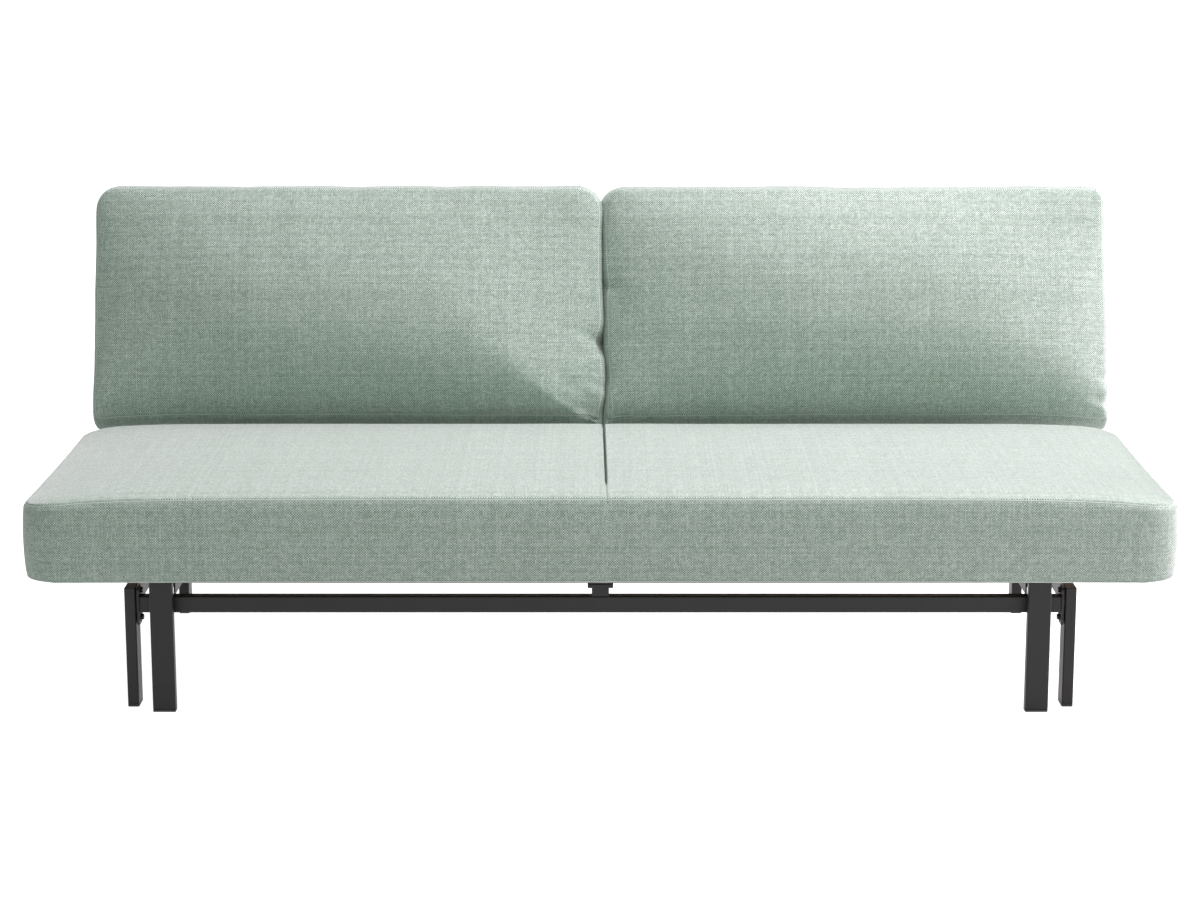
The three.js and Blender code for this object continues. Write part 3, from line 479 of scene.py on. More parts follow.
def box_pad(name, form, extra_x=()):
    """A boxed pad in its own space, plan X and Y and height Z from 0: the object and its loops of vertices."""
    half_x = form["width"] / 2 - form["bulge"] - form["edge"]
    half_y = form["depth"] / 2 - form["bulge"] - form["edge"]
    inset = form["bulge"] + form["edge"]
    corners = {key: max(radius - inset, 2 * MM) for key, radius in form["corners"].items()}
    xs = spaced(half_x, form["cell"], extra_x)
    ys = spaced(half_y, form["cell"])
    draw = form["draw_in"]
    points = []

    def lift(y):
        """How far the front panel's own edge stays above the foot at this place."""
        return form["foot_lift"] * min(1, max(0, -y / half_y)) ** 4

    def plan(x, y):
        px, py = rounded_plan(x, y, half_x, half_y, corners)
        in_x = draw * math.cos(math.pi / 2 * min(1, abs(py / half_y))) * abs(px / half_x) ** 5
        in_y = draw * math.cos(math.pi / 2 * min(1, abs(px / half_x))) * abs(py / half_y) ** 3
        return px - math.copysign(in_x, px), py - math.copysign(in_y, py)

    top = {}
    for i, x in enumerate(xs):
        for j, y in enumerate(ys):
            px, py = plan(x, y)
            top[i, j] = len(points)
            points.append((px, py + lift(py), form["top"](px / half_x, py / half_y)))
    bottom = {}
    for i, x in enumerate(xs):
        for j, y in enumerate(ys):
            px, py = plan(x, y)
            bottom[i, j] = len(points)
            points.append((px, py, form["under"](px / half_x, py / half_y)))
    last_i, last_j = len(xs) - 1, len(ys) - 1
    ring = [(i, 0) for i in range(last_i)] + [(last_i, j) for j in range(last_j)]
    ring += [(i, last_j) for i in range(last_i, 0, -1)] + [(0, j) for j in range(last_j, 0, -1)]
    count = len(ring)
    rim = [Vector(points[top[k]]) for k in ring]
    foot = [Vector(points[bottom[k]]) for k in ring]
    outward = []
    for k in range(count):
        along = rim[(k + 1) % count] - rim[k - 1]
        outward.append(Vector((along.y, -along.x, 0)).normalized())
    edge, bulge = form["edge"], form["bulge"]
    rings = [[top[k] for k in ring]]

    def add_ring(out, height, share):
        row = []
        for k in range(count):
            row.append(len(points))
            lowered = 1 - (1 - share) ** 4
            place = rim[k].lerp(Vector((foot[k].x, foot[k].y, rim[k].z)), lowered) + outward[k] * out
            points.append((place.x, place.y, height(rim[k].z, foot[k].z)))
        rings.append(row)

    for out, drop in LIP:
        add_ring(edge * out, lambda high, low, d=drop: high - edge * d, 0.0)
    for step in range(1, BOXING_STEPS):
        share = step / BOXING_STEPS
        swell = edge + bulge * math.sin(math.pi * share) ** 0.8
        inset = edge * LIP[-1][1]
        add_ring(swell, lambda high, low, t=share, i=inset: high - i - (high - low - 2 * i) * t, share)
    for out, drop in reversed(LIP):
        add_ring(edge * out, lambda high, low, d=drop: low + edge * d, 1.0)
    rings.append([bottom[k] for k in ring])
    faces = []
    for i in range(last_i):
        for j in range(last_j):
            faces.append((top[i, j], top[i + 1, j], top[i + 1, j + 1], top[i, j + 1]))
            faces.append((bottom[i, j], bottom[i, j + 1], bottom[i + 1, j + 1], bottom[i + 1, j]))
    for upper, lower in zip(rings, rings[1:]):
        for k in range(count):
            n = (k + 1) % count
            faces.append((upper[k], lower[k], lower[n], upper[n]))
    return mesh_object(name, points, faces), rings


def coordinates(piece):
    co = np.zeros(len(piece.data.vertices) * 3)
    piece.data.vertices.foreach_get("co", co)
    return co.reshape(-1, 3)


def vertex_normals(piece):
    normals = np.zeros(len(piece.data.vertices) * 3)
    piece.data.vertices.foreach_get("normal", normals)
    return normals.reshape(-1, 3)


def set_coordinates(piece, co):
    piece.data.vertices.foreach_set("co", co.astype(np.float32).ravel())
    piece.data.update()


def inflate(piece, cap, seams):
    """Blows the pad up as cloth with its seams held, then keeps each point within a cap of where it began."""
    group = piece.vertex_groups.new(name="held")
    for seam in seams:
        group.add(seam, 1.0, "REPLACE")
    before = coordinates(piece)
    cloth = piece.modifiers.new("Cloth", "CLOTH")
    for key, value in CLOTH.items():
        setattr(cloth.settings, key, value)
    cloth.settings.effector_weights.gravity = 0
    cloth.settings.vertex_group_mass = group.name
    cloth.collision_settings.use_collision = False
    cloth.point_cache.frame_start = 1
    cloth.point_cache.frame_end = SWELL_FRAMES
    for number in range(1, SWELL_FRAMES + 1):
        bpy.context.scene.frame_set(number)
    done = piece.evaluated_get(bpy.context.evaluated_depsgraph_get())
    after = coordinates(done)
    piece.modifiers.remove(cloth)
    bpy.context.scene.frame_set(1)
    move = after - before
    length = np.linalg.norm(move, axis=1, keepdims=True)
    limited = cap * np.tanh(length / cap) / np.maximum(length, 1e-9)
    set_coordinates(piece, before + move * limited)
    piece.vertex_groups.remove(group)


def smoothed(piece):
    """Subdivides the piece once and shades it smooth; its first vertices keep their numbers."""
    for polygon in piece.data.polygons:
        polygon.use_smooth = True
    subdivision = piece.modifiers.new("subdivision", "SUBSURF")
    subdivision.levels = 1
    bpy.context.view_layer.objects.active = piece
    with bpy.context.temp_override(object=piece, active_object=piece, selected_objects=[piece]):
        bpy.ops.object.modifier_apply(modifier=subdivision.name)


def groove(piece, paths, depth, reach):
    """Draws the surface in along seam paths, with a smooth fall-off on both sides."""
    co = coordinates(piece)
    normals = vertex_normals(piece)
    dense = [p for path in paths for p in path]
    tree = KDTree(len(dense))
    for index, point in enumerate(dense):
        tree.insert(point, index)
    tree.balance()
    for index, point in enumerate(co):
        _, _, distance = tree.find(point)
        if distance < reach:
            share = 1 - distance / reach
            co[index] -= normals[index] * depth * share * share
    set_coordinates(piece, co)


def seam_path(piece, loop, spacing=1.5 * MM):
    """The seam's points on the finished pad, from the vertices that lay on it, filled in closely."""
    co = coordinates(piece)
    corners = [Vector(co[index]) for index in loop]
    path = []
    for a, b in zip(corners, corners[1:] + corners[:1]):
        steps = max(1, round((b - a).length / spacing))
        path += [a.lerp(b, step / steps) for step in range(steps)]
    return path


def scene_piece(name, points, faces, material, body, smooth=False):
    """A mesh object of the scene's own, with its finish, on its body."""
    piece = mesh_object(name, [tuple(p) for p in points], faces)
    for polygon in piece.data.polygons:
        polygon.use_smooth = smooth
    piece.data.materials.append(material)
    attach(piece, body)


def ring_round(centre, first, second, reach, sides):
    """Points of a ring round a centre; the reach is a length, or a function of the turn."""
    made = []
    for step in range(sides):
        turn = 2 * math.pi * step / sides
        length = reach(turn) if callable(reach) else reach
        made.append(centre + (first * math.cos(turn) + second * math.sin(turn)) * length)
    return made


def add_lofted(points, faces, rings):
    """Adds a closed form through rings of equal count, capped at both ends."""
    base, sides = len(points), len(rings[0])
    for ring in rings:
        points.extend(ring)
    for k in range(len(rings) - 1):
        for step in range(sides):
            after = (step + 1) % sides
            a, b = base + k * sides, base + (k + 1) * sides
            faces.append((a + step, a + after, b + after, b + step))
    faces.append(tuple(base + step for step in reversed(range(sides))))
    faces.append(tuple(base + (len(rings) - 1) * sides + step for step in range(sides)))


def add_tube(points, faces, path, radius, sides=6):
    """Adds a closed round cord along a loop of points; the radius is a length, or a function of the step."""
    base, count = len(points), len(path)
    for k in range(count):
        along = (path[(k + 1) % count] - path[k - 1]).normalized()
        first = along.orthogonal().normalized() if k == 0 else (first - along * first.dot(along)).normalized()
        reach = radius(k) if callable(radius) else radius
        points += ring_round(path[k], first, along.cross(first), reach, sides)
    for k in range(count):
        n = (k + 1) % count
        for step in range(sides):
            after = (step + 1) % sides
            a, b = base + k * sides, base + n * sides
            faces.append((a + step, b + step, b + after, a + after))


def even_steps(path, pitch):
    """Points of a closed path at even distances."""
    closed = path + path[:1]
    lengths = [(b - a).length for a, b in zip(closed, closed[1:])]
    total = sum(lengths)
    count = max(3, round(total / pitch))
    made, run, index = [], 0.0, 0
    for k in range(count):
        want = total * k / count
        while run + lengths[index] < want:
            run += lengths[index]
            index += 1
        made.append(closed[index].lerp(closed[index + 1], (want - run) / lengths[index]))
    return made


def seam_cord(name, pad, seam, body):
    """A cord of the cover along a seam, half sunk into its groove. Its lighter thread colour is a painted
    highlight along the seam's lip.
    """
    normals = vertex_normals(pad)
    co = coordinates(pad)
    corners = [Vector(co[index] + normals[index] * SEAM_CORD_LIFT) for index in seam]
    points, faces = [], []
    add_tube(points, faces, even_steps(corners, SEWING_PITCH), SEAM_CORD_RADIUS)
    scene_piece(name, points, faces, thread_and_seam_highlight, body, True)


def between(pad, upper, lower, share):
    """Points on the finished pad part of the way from one loop of vertices to the next."""
    co = coordinates(pad)
    return [Vector(co[a] + (co[b] - co[a]) * share) for a, b in zip(upper, lower)]


def seat_top(u, v):
    rise = (1 - min(1, abs(u)) ** 6) * (1 - min(1, abs(v)) ** 4)
    front = SEAT_FRONT_RISE * (1 - min(1, abs(u)) ** 8) * min(1, max(0, -v)) ** 2
    return SEAT_THICKNESS - SEAT_DROOP * min(1, abs(u)) ** 10 + SEAT_CROWN * rise + front


def seat_underside():
    """The underside stops inside the board, which fills the pad's underside within its cover."""
    low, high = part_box("seat_pad")
    board_low, board_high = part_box("seat_board")

    def under(u, v):
        x = u * (high.x - low.x) / 2
        y = v * (high.y - low.y) / 2 + (low.y + high.y) / 2
        margin = min(board_high.x - abs(x), y - board_low.y, board_high.y - y)
        return BOARD_SINK if margin > BOARD_MARGIN else 0.0

    return under


def stitches(name, path, body):
    """A row of short threads along a closed path, each a slim body that dips into the cover at both ends."""
    places = even_steps(path, SEWING_PITCH)
    points, faces = [], []
    middle = sum(places, Vector()) / len(places)
    for start, end in zip(places, places[1:] + places[:1]):
        along = (end - start) * STITCH_SHARE
        axis = along.normalized()
        out = (start - middle) - axis * axis.dot(start - middle)
        out.z = 0
        out.normalize()
        rings = []
        for run, thick, rise in STITCH_PROFILE:
            centre = start + along * run + out * rise * STITCH_RADIUS
            rings.append(ring_round(centre, out, axis.cross(out), STITCH_RADIUS * thick, 5))
        add_lofted(points, faces, rings)
    scene_piece(name, points, faces, thread_and_seam_highlight, body, True)


def make_seat_pad():
    low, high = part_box("seat_pad")
    form = {
        "width": high.x - low.x, "depth": high.y - low.y, "edge": SEAT_EDGE,
        "corners": {(right, far): SEAT_CORNER for right in (False, True) for far in (False, True)},
        "draw_in": SEAT_DRAW_IN, "bulge": SEAT_BULGE, "cell": SEAT_CELL, "foot_lift": 0.0,
        "top": seat_top, "under": seat_underside(),
    }
    pad, rings = box_pad("seat_cushion", form, SLIT_COLUMNS)
    top_seam, bottom_seam = rings[SEAM_RING], rings[-SEAM_RING - 1]
    inflate(pad, SEAT_SWELL, (top_seam, bottom_seam))
    co = coordinates(pad)
    half_depth = (high.y - low.y) / 2
    front = -half_depth + SLIT_FRONT_MARGIN
    rear = half_depth - SLIT_REAR_MARGIN
    for index, (x, y, z) in enumerate(co):
        if z < SLIT_ABOVE or abs(x) > SLIT_LIP:
            continue
        begin = min(1.0, max(0.0, (y - front) / SLIT_FRONT_RAMP), max(0.0, (rear - y) / SLIT_REAR_RAMP))
        inner = max(0.0, 1 - abs(x) / SLIT_HALF_WIDTH)
        co[index, 2] -= SLIT_SEAM_DEPTH * inner * (1 - begin) * (y < front)
        lip = (1 - abs(x) / SLIT_LIP) ** 2
        co[index, 2] -= begin * (SLIT_DEPTH * min(1.0, inner * 1.5) + SLIT_LIP_DEPTH * lip)
    aside = SLIT_SHIFT - SLIT_SLANT * co[:, 1] / half_depth
    on_top = np.clip(co[:, 2] / SEAT_THICKNESS, 0, 1)
    co[:, 0] += aside * np.clip(1 - np.abs(co[:, 0]) / SLIT_SHIFT_REACH, 0, 1) * on_top
    set_coordinates(pad, co)
    path = seam_path(pad, top_seam)
    smoothed(pad)
    groove(pad, [path], SEAT_SEAM_DEPTH, SEAT_SEAM_REACH)
    pad.data.transform(Matrix.Translation(((low.x + high.x) / 2, (low.y + high.y) / 2, low.z)))
    pad.data.materials.append(seat_fabric)
    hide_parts("seat_pad")
    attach(pad, "seat_carriage")
    seam_cord("seat_top_seam", pad, top_seam, "seat_carriage")
    seam_cord("seat_bottom_seam", pad, bottom_seam, "seat_carriage")
    under_top = between(pad, rings[SEAM_RING + 1], rings[SEAM_RING + 2], TOP_ROW)
    stitches("seat_top_stitches", under_top, "seat_carriage")
    over_bottom = between(pad, rings[-SEAM_RING - 2], rings[-SEAM_RING - 3], BOTTOM_ROW)
    stitches("seat_bottom_stitches", over_bottom, "seat_carriage")
    return pad


def eased(share):
    """Starts flat and then follows the share, so that the crest has no hard line."""
    full = math.hypot(1, CREST_SOFTNESS) - CREST_SOFTNESS
    return (math.hypot(share, CREST_SOFTNESS) - CREST_SOFTNESS) / full


def crown_share(u, v, kind):
    """How much of the crown a place on the cushion has: full along a crest, less to the sides, foot and top."""
    across = 1 - min(1, abs(u)) ** kind["right_power" if u > 0 else "left_power"]
    turned = max(0, (u - CREST_TURN) / (1 - CREST_TURN)) ** 2
    crest = CUSHION_CREST + kind["crest_tilt"] * u - kind["crest_fall"] * turned
    if v > crest:
        fall = eased((min(1, v) - crest) / (1 - crest))
        return across * (1 - (1 - kind["top_share"]) * fall ** kind["top_power"])
    fall = eased((crest - max(-1, v)) / (1 + crest))
    return across * (1 - fall ** CUSHION_FOOT_POWER)


def cushion_front(u, v, kind):
    """Height of the front panel: the crown on the boxing, drawn down towards the foot seam."""
    from_foot = (1 + max(-1, v)) * CUSHION_HEIGHT / 2
    drawn = CUSHION_FOOT_ROUND * math.exp(-from_foot / CUSHION_FOOT_ROUND_REACH)
    return CUSHION_THICKNESS + CUSHION_CROWN * crown_share(u, v, kind) - drawn


def back_space():
    """The back's own leaning space, in which Z runs up the back from the hinge line."""
    return Matrix.Translation((0, HINGE_Y, HINGE_Z)) @ Matrix.Rotation(-BACK_LEAN, 4, "X")


def cushion_space():
    """From a cushion's own space, with its height to the front, to the leaning back."""
    upright = Matrix(((1, 0, 0, 0), (0, 0, -1, 0), (0, 1, 0, 0), (0, 0, 0, 1)))
    return back_space() @ upright


# Where the covers are drawn in, as shares of half the width and half the height, with depth and reach in mm
PINCH_ACROSS = 40 * MM
PINCH_DEEP = 60 * MM
PINCHES = {
    "left": [(1.0, -0.33, 11, 34), (1.0, -0.86, 5, 22)],
    "right": [(-1.0, 0.16, 5, 26), (-0.995, -0.62, 4, 30), (1.0, -0.80, 6, 16), (1.0, -0.62, 4, 14)],
}
# Folds of the covers, from one place to another in the same shares, with depth and width in mm
CREASES = {
    "left": [
        (0.99, -0.34, 0.86, -0.20, 7, 9),
        (0.99, -0.38, 0.88, -0.52, 5, 8),
        (0.985, -0.70, 0.90, -0.62, 4, 7),
        (0.97, -0.93, 0.82, -0.74, 6, 9),
        (0.93, -0.98, 0.72, -0.88, 4, 8),
        (-0.97, -0.92, -0.84, -0.74, 4, 9),
        (-0.5, -0.98, -0.42, -0.80, 3, 12),
        (-0.10, -0.98, -0.06, -0.82, 3, 12),
    ],
    "right": [
        (-0.99, 0.14, -0.84, 0.04, 4, 10),
        (-0.86, -0.98, -0.76, -0.72, 7, 9),
        (-0.97, -0.95, -0.90, -0.80, 4, 7),
        (0.99, -0.80, 0.88, -0.76, 6, 6),
        (0.99, -0.62, 0.90, -0.60, 4, 6),
        (0.97, -0.93, 0.84, -0.78, 4, 9),
        (0.35, -0.98, 0.30, -0.82, 3, 12),
    ],
}
RIDGE_OFFSET = 1.6
RIDGE_WIDTH = 1.2
RIDGE_HEIGHT = 0.45


def soften(piece, strength, scale, seed):
    """Slow unevenness of a filled cover."""
    co = coordinates(piece)
    normals = vertex_normals(piece)
    for index, point in enumerate(co):
        where = Vector(point) / scale + Vector((seed, seed * 0.7, seed * 1.3))
        amount = noise.noise(where) + 0.5 * noise.noise(where * 2.1)
        co[index] += normals[index] * strength * amount
    set_coordinates(piece, co)


def crease(piece, start, end, depth, width):
    """A fold in the front panel between two places on its plan: deepest at its start, with a soft ridge."""
    co = coordinates(piece)
    a, b = np.array(start), np.array(end)
    along = b - a
    length = np.linalg.norm(along)
    along = along / length
    rel = co[:, :2] - a
    run = rel @ along
    off = rel @ np.array((-along[1], along[0]))
    share = np.clip(run / length, 0, 1)
    beyond = np.where(run < 0, -run, np.where(run > length, run - length, 0))
    near = np.exp(-(off ** 2 + beyond ** 2) / width ** 2)
    ridge = np.exp(-((off - RIDGE_OFFSET * width) ** 2 + beyond ** 2) / (RIDGE_WIDTH * width) ** 2)
    front = np.clip(co[:, 2] / (CUSHION_THICKNESS * 0.8), 0, 1) ** 3
    fade = (1 - share) ** 1.2
    co[:, 2] += (RIDGE_HEIGHT * ridge - near) * depth * fade * front
    set_coordinates(piece, co)


def pinch(piece, centre, depth, reach):
    """Draws the cover in towards a point, as where the filling gives way at a seam."""
    co = coordinates(piece)
    rel = co - np.array(centre)
    distance = np.linalg.norm(rel / np.array(reach), axis=1)
    pull = depth * np.exp(-distance ** 2 * 2)
    inward = np.array((-math.copysign(1, centre[0]), 0, -0.7))
    co += inward * pull[:, None]
    set_coordinates(piece, co)


def meet_in_the_middle(pad, side):
    """The boxing of the two cushions touches along a wavy face, and their front seams stay a little apart."""
    co = coordinates(pad)
    depth_share = np.clip(co[:, 2] / CUSHION_THICKNESS, 0, 1)
    between_seams = np.sin(math.pi * depth_share) ** 0.5
    middle = CUSHION_WIDTH / 2 + CUSHION_GAP / 2
    seam = CUSHION_WIDTH / 2 - CUSHION_BULGE
    inner = co[:, 0] * -side
    near = np.clip(1 - (seam - inner) / CONTACT_REACH, 0, 1) ** 2
    below_top = np.clip((CUSHION_HEIGHT / 2 - co[:, 1]) / CONTACT_TOP_FADE, 0, 1)
    inner = inner + near * (middle - CONTACT_SEAM_GAP - seam) * below_top
    inner = np.minimum(inner, middle - CONTACT_HALF_GAP)
    # Between the seams the lower corners are pressed square, so nothing shows through under them
    above_foot = co[:, 1] + CUSHION_HEIGHT / 2
    low_down = np.clip(1 - above_foot / CONTACT_CORNER, 0, 1)
    corner = low_down * np.clip(1 - (middle - inner) / CONTACT_CORNER, 0, 1)
    square = np.clip(corner * 6, 0, 1) * np.clip(between_seams * 1.5, 0, 1)
    inner += square * (middle - CONTACT_HALF_GAP - inner)
    co[:, 1] -= square * np.maximum(above_foot, 0)
    along = CONTACT_SHIFT - CONTACT_WAVE * np.sin(2 * math.pi * co[:, 1] / CONTACT_WAVE_LENGTH)
    deep = CONTACT_DEEP_WAVE * np.sin(co[:, 2] / CONTACT_DEEP_LENGTH + CONTACT_DEEP_PHASE) * between_seams
    co[:, 0] = inner * -side + near * (along + deep)
    set_coordinates(pad, co)


def rest_on_seat(pad, seat):
    """Lets the foot of a cushion down onto the seat pad, and flattens what would reach into it."""
    low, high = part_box("seat_pad")
    middle_y = (low.y + high.y) / 2
    half_x, half_y = (high.x - low.x) / 2, (high.y - low.y) / 2
    foot_y = middle_y + FOOT_LINE * half_y
    tree = BVHTree.FromPolygons(
        [Vector(point) for point in coordinates(seat)], [tuple(face.vertices) for face in seat.data.polygons])

    def swell(x, y):
        """How far the finished seat pad stands over its plain form beside the slit."""
        off = x - SLIT_SHIFT
        beside = SLIT_SHIFT + math.copysign(min(max(abs(off), SLIT_CLEAR), half_x - SEAT_CORNER), off)
        place = tree.ray_cast(Vector((beside, min(y, foot_y), 1.0)), Vector((0, 0, -1)))[0]
        return place.z - low.z - seat_top(beside / half_x, (min(y, foot_y) - middle_y) / half_y)

    co = coordinates(pad)
    foot_z = co[:, 2].min() + FOOT_SAG_OFFSET
    level = seat_top(FOOT_LEVEL_AT, FOOT_LINE)
    for index, (x, y, z) in enumerate(co):
        near = max(0.0, 1 - max(0.0, z - foot_z) / FOOT_SAG_REACH) ** 2
        if near == 0.0:
            continue
        z -= near * (level - seat_top(x / half_x, FOOT_LINE) - swell(x, foot_y))
        if y <= high.y + REST_GAP:
            over = low.z + seat_top(x / half_x, (y - middle_y) / half_y) + swell(x, y)
            z = max(z, over + REST_GAP)
        co[index, 2] = z
    set_coordinates(pad, co)


def make_back_cushion(key, seat):
    kind = CUSHIONS[key]
    side = kind["side"]
    inner_right = side < 0
    form = {
        "width": CUSHION_WIDTH, "depth": CUSHION_HEIGHT, "edge": CUSHION_EDGE,
        "corners": {
            (inner_right, True): kind["inner"], (not inner_right, True): kind["outer"],
            (inner_right, False): CUSHION_INNER_FOOT, (not inner_right, False): CUSHION_OUTER_FOOT,
        },
        "draw_in": CUSHION_DRAW_IN, "bulge": CUSHION_BULGE, "cell": CUSHION_CELL,
        "foot_lift": CUSHION_FOOT_LIFT,
        "top": lambda u, v: cushion_front(u, v, kind),
        "under": lambda u, v: 0.0,
    }
    pad, rings = box_pad("cushion_" + key, form)
    seams = rings[SEAM_RING], rings[-SEAM_RING - 1]
    inflate(pad, CUSHION_SWELL, seams)
    paths = [seam_path(pad, seam) for seam in seams]
    smoothed(pad)
    groove(pad, paths, CUSHION_SEAM_DEPTH, CUSHION_SEAM_REACH)
    soften(pad, CUSHION_UNEVENNESS, CUSHION_UNEVEN_SCALE, 3.0 + side)
    half_x, half_y = CUSHION_WIDTH / 2, CUSHION_HEIGHT / 2
    for u, v, depth, reach in PINCHES[key]:
        where = (u * half_x, v * half_y, CUSHION_THICKNESS)
        pinch(pad, where, depth * MM, (PINCH_ACROSS, reach * MM, PINCH_DEEP))
    for u0, v0, u1, v1, depth, width in CREASES[key]:
        crease(pad, (u0 * half_x, v0 * half_y), (u1 * half_x, v1 * half_y), depth * MM, width * MM)
    meet_in_the_middle(pad, side)
    co = coordinates(pad)
    co[:, 2] = np.maximum(co[:, 2], 0.0)
    set_coordinates(pad, co)
    centre_x = side * (CUSHION_WIDTH + CUSHION_GAP) / 2
    place = Matrix.Translation((centre_x, CUSHION_FOOT + CUSHION_HEIGHT / 2, CUSHION_REAR))
    pad.data.transform(cushion_space() @ place)
    rest_on_seat(pad, seat)
    pad.data.materials.append(cushion_fabric)
    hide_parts("back_cushion_" + key)
    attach(pad, "cushion_" + key)
    for word, seam in zip(("_front_seam", "_rear_seam"), seams):
        seam_cord("cushion_" + key + word, pad, seam, "cushion_" + key)


# Fasteners, as turned profiles in mm: radius, height over the seat, and 1 where the ring is a hexagon
BUTTON_SCREW = (
    (4.6, -0.6, 0), (4.75, 0.5, 0), (4.3, 1.5, 0), (3.4, 2.2, 0), (2.5, 2.5, 0), (2.0, 2.5, 1), (1.8, 1.0, 1),
)
HEX_BOLT = (
    (7.2, -0.4, 0), (7.2, 0.9, 0), (6.9, 1.2, 0), (5.3, 1.2, 0), (5.0, 1.3, 1), (5.0, 4.2, 1), (4.3, 5.0, 1),
)
SCREW_SPREAD = 19 * MM
WELD_RADIUS = 1.9 * MM
WELD_PITCH = 1.6 * MM
WELD_CORNER = 3 * MM
HEAD_SIDES = 24
RAY_START = 0.1
BOARD_SCREWS_X = (-0.6, -0.2, 0.2, 0.6)


def on_surface(node, start, direction):
    """Where a ray from outside meets a CAD node."""
    back = nodes[node].matrix_world.inverted()
    way = back.to_3x3() @ Vector(direction)
    found, place, _, _ = nodes[node].ray_cast(back @ Vector(start), way)
    if not found:
        raise ValueError("nothing met on " + node)
    return nodes[node].matrix_world @ place


def hexagon(across):
    """The reach of a hexagon at each turn, from the radius of the circle inside it."""
    return lambda turn: across / math.cos(turn % (math.pi / 3) - math.pi / 6)


def turned_heads(name, profile, node, starts, direction, slot, body):
    """Screw or bolt heads, seated where a ray from each start meets the node."""
    axis = -Vector(direction).normalized()
    first = axis.orthogonal().normalized()
    points, faces = [], []
    for start in starts:
        seat = on_surface(node, start, direction)
        rings = []
        for radius, height, hexagonal in profile:
            reach = hexagon(radius * MM) if hexagonal else radius * MM
            rings.append(ring_round(seat + axis * height * MM, first, axis.cross(first), reach, HEAD_SIDES))
        add_lofted(points, faces, rings)
    scene_piece(name, points, faces, finishes[slot], body)


def section_loop(space, middle, half_y, half_z):
    """A round-cornered rectangle across X about a place of a space, as a loop of scene points."""
    loop = []
    inner_y, inner_z = half_y - WELD_CORNER, half_z - WELD_CORNER
    for quarter, (sy, sz) in enumerate(((1, 1), (-1, 1), (-1, -1), (1, -1))):
        for step in range(5):
            turn = math.pi / 2 * (quarter + step / 4)
            y = middle.y + (sy * inner_y + WELD_CORNER * math.cos(turn))
            z = middle.z + (sz * inner_z + WELD_CORNER * math.sin(turn))
            loop.append(space @ Vector((middle.x, y, z)))
    return loop


def weld_ripple(step):
    """The bead's radius at a step along it."""
    return WELD_RADIUS * (0.9 + 0.14 * ((step * 7) % 5) / 4)


def weld_beads(name, joints, body):
    """Rippled beads round the ends of tubes. Each joint is what section_loop takes."""
    points, faces = [], []
    for joint in joints:
        add_tube(points, faces, even_steps(section_loop(*joint), WELD_PITCH), weld_ripple, 8)
    scene_piece(name, points, faces, coating, body, True)


def middle_and_halves(name):
    low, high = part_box(name)
    return (low + high) / 2, (high - low) / 2


def make_slat_screws():
    """Two screws through each slat's end into it, from the rear of both back rails."""
    forward = Matrix.Rotation(-BACK_LEAN, 3, "X") @ Vector((0, -1, 0))
    for rail in ("bottom", "top"):
        node = "back_" + rail + "_rail"
        behind = middle_and_halves(node)[0] - forward * RAY_START
        starts = []
        for number in range(1, SLAT_COUNT + 1):
            slat_x = middle_and_halves("back_slat_%d" % number)[0].x
            starts += [behind + Vector((slat_x + s * SCREW_SPREAD, 0, 0)) for s in (-1, 1)]
        turned_heads(
            "slat_screws_" + rail, BUTTON_SCREW, node, starts, forward, "fitting_zinc", "folding_back")


def make_plate_bolts(end):
    """Bolts of the rail's end plates, over and under the rail."""
    rail, rail_half = middle_and_halves(end + "_cross_rail")
    for side, word in ((-1, "left"), (1, "right")):
        node = end + "_rail_end_plate_" + word
        plate, plate_half = middle_and_halves(node)
        under = (plate.z - plate_half.z + rail.z - rail_half.z) / 2
        over = (plate.z + plate_half.z + rail.z + rail_half.z) / 2
        starts = [(plate.x - side * RAY_START, plate.y, z) for z in (under, over)]
        name = end + "_plate_bolts_" + word
        turned_heads(name, HEX_BOLT, node, starts, (side, 0, 0), "frame_coating", "base")


def make_board_screws(end):
    """Screws up through a bar of the carriage into the board."""
    node = "carriage_" + end + "_bar"
    bar, _ = middle_and_halves(node)
    starts = [(x, bar.y, bar.z - RAY_START) for x in BOARD_SCREWS_X]
    turned_heads(
        end + "_board_screws", BUTTON_SCREW, node, starts, (0, 0, 1), "fitting_zinc", "seat_carriage")


def make_fasteners():
    bpy.context.view_layer.update()
    make_slat_screws()
    base_joints, back_joints = [], []
    for end in ("front", "rear"):
        make_plate_bolts(end)
        make_board_screws(end)
        rail, half = middle_and_halves(end + "_cross_rail")
        ends = [Vector((s * half.x, rail.y, rail.z)) for s in (-1, 1)]
        base_joints += [(Matrix.Identity(4), place, half.y, half.z) for place in ends]
    weld_beads("base_weld_beads", base_joints, "base")
    for rail in ("bottom", "top"):
        middle, half = middle_and_halves("back_" + rail + "_rail")
        own = back_space().inverted() @ middle
        ends = [Vector((s * half.x, own.y, own.z)) for s in (-1, 1)]
        back_joints += [(back_space(), place, BACK_RAIL_HALF, BACK_RAIL_HALF) for place in ends]
    weld_beads("back_weld_beads", back_joints, "folding_back")


FLOOR_HALF = 30
FLOOR_TONE = 0.80
# How strongly the floor glows for the camera, and between which distances this rises to 1
FLOOR_GLOW = 0.96
FLOOR_GLOW_NEAR = 1.2
FLOOR_GLOW_FAR = 3.0


def seen_directly(tree, path):
    """1 for the rays of the camera and of reflections, 0 for those that only light the scene."""
    seen = tree.nodes.new("ShaderNodeMath")
    seen.operation = "MAXIMUM"
    tree.links.new(path.outputs["Is Camera Ray"], seen.inputs[0])
    tree.links.new(path.outputs["Is Glossy Ray"], seen.inputs[1])
    return seen.outputs[0]


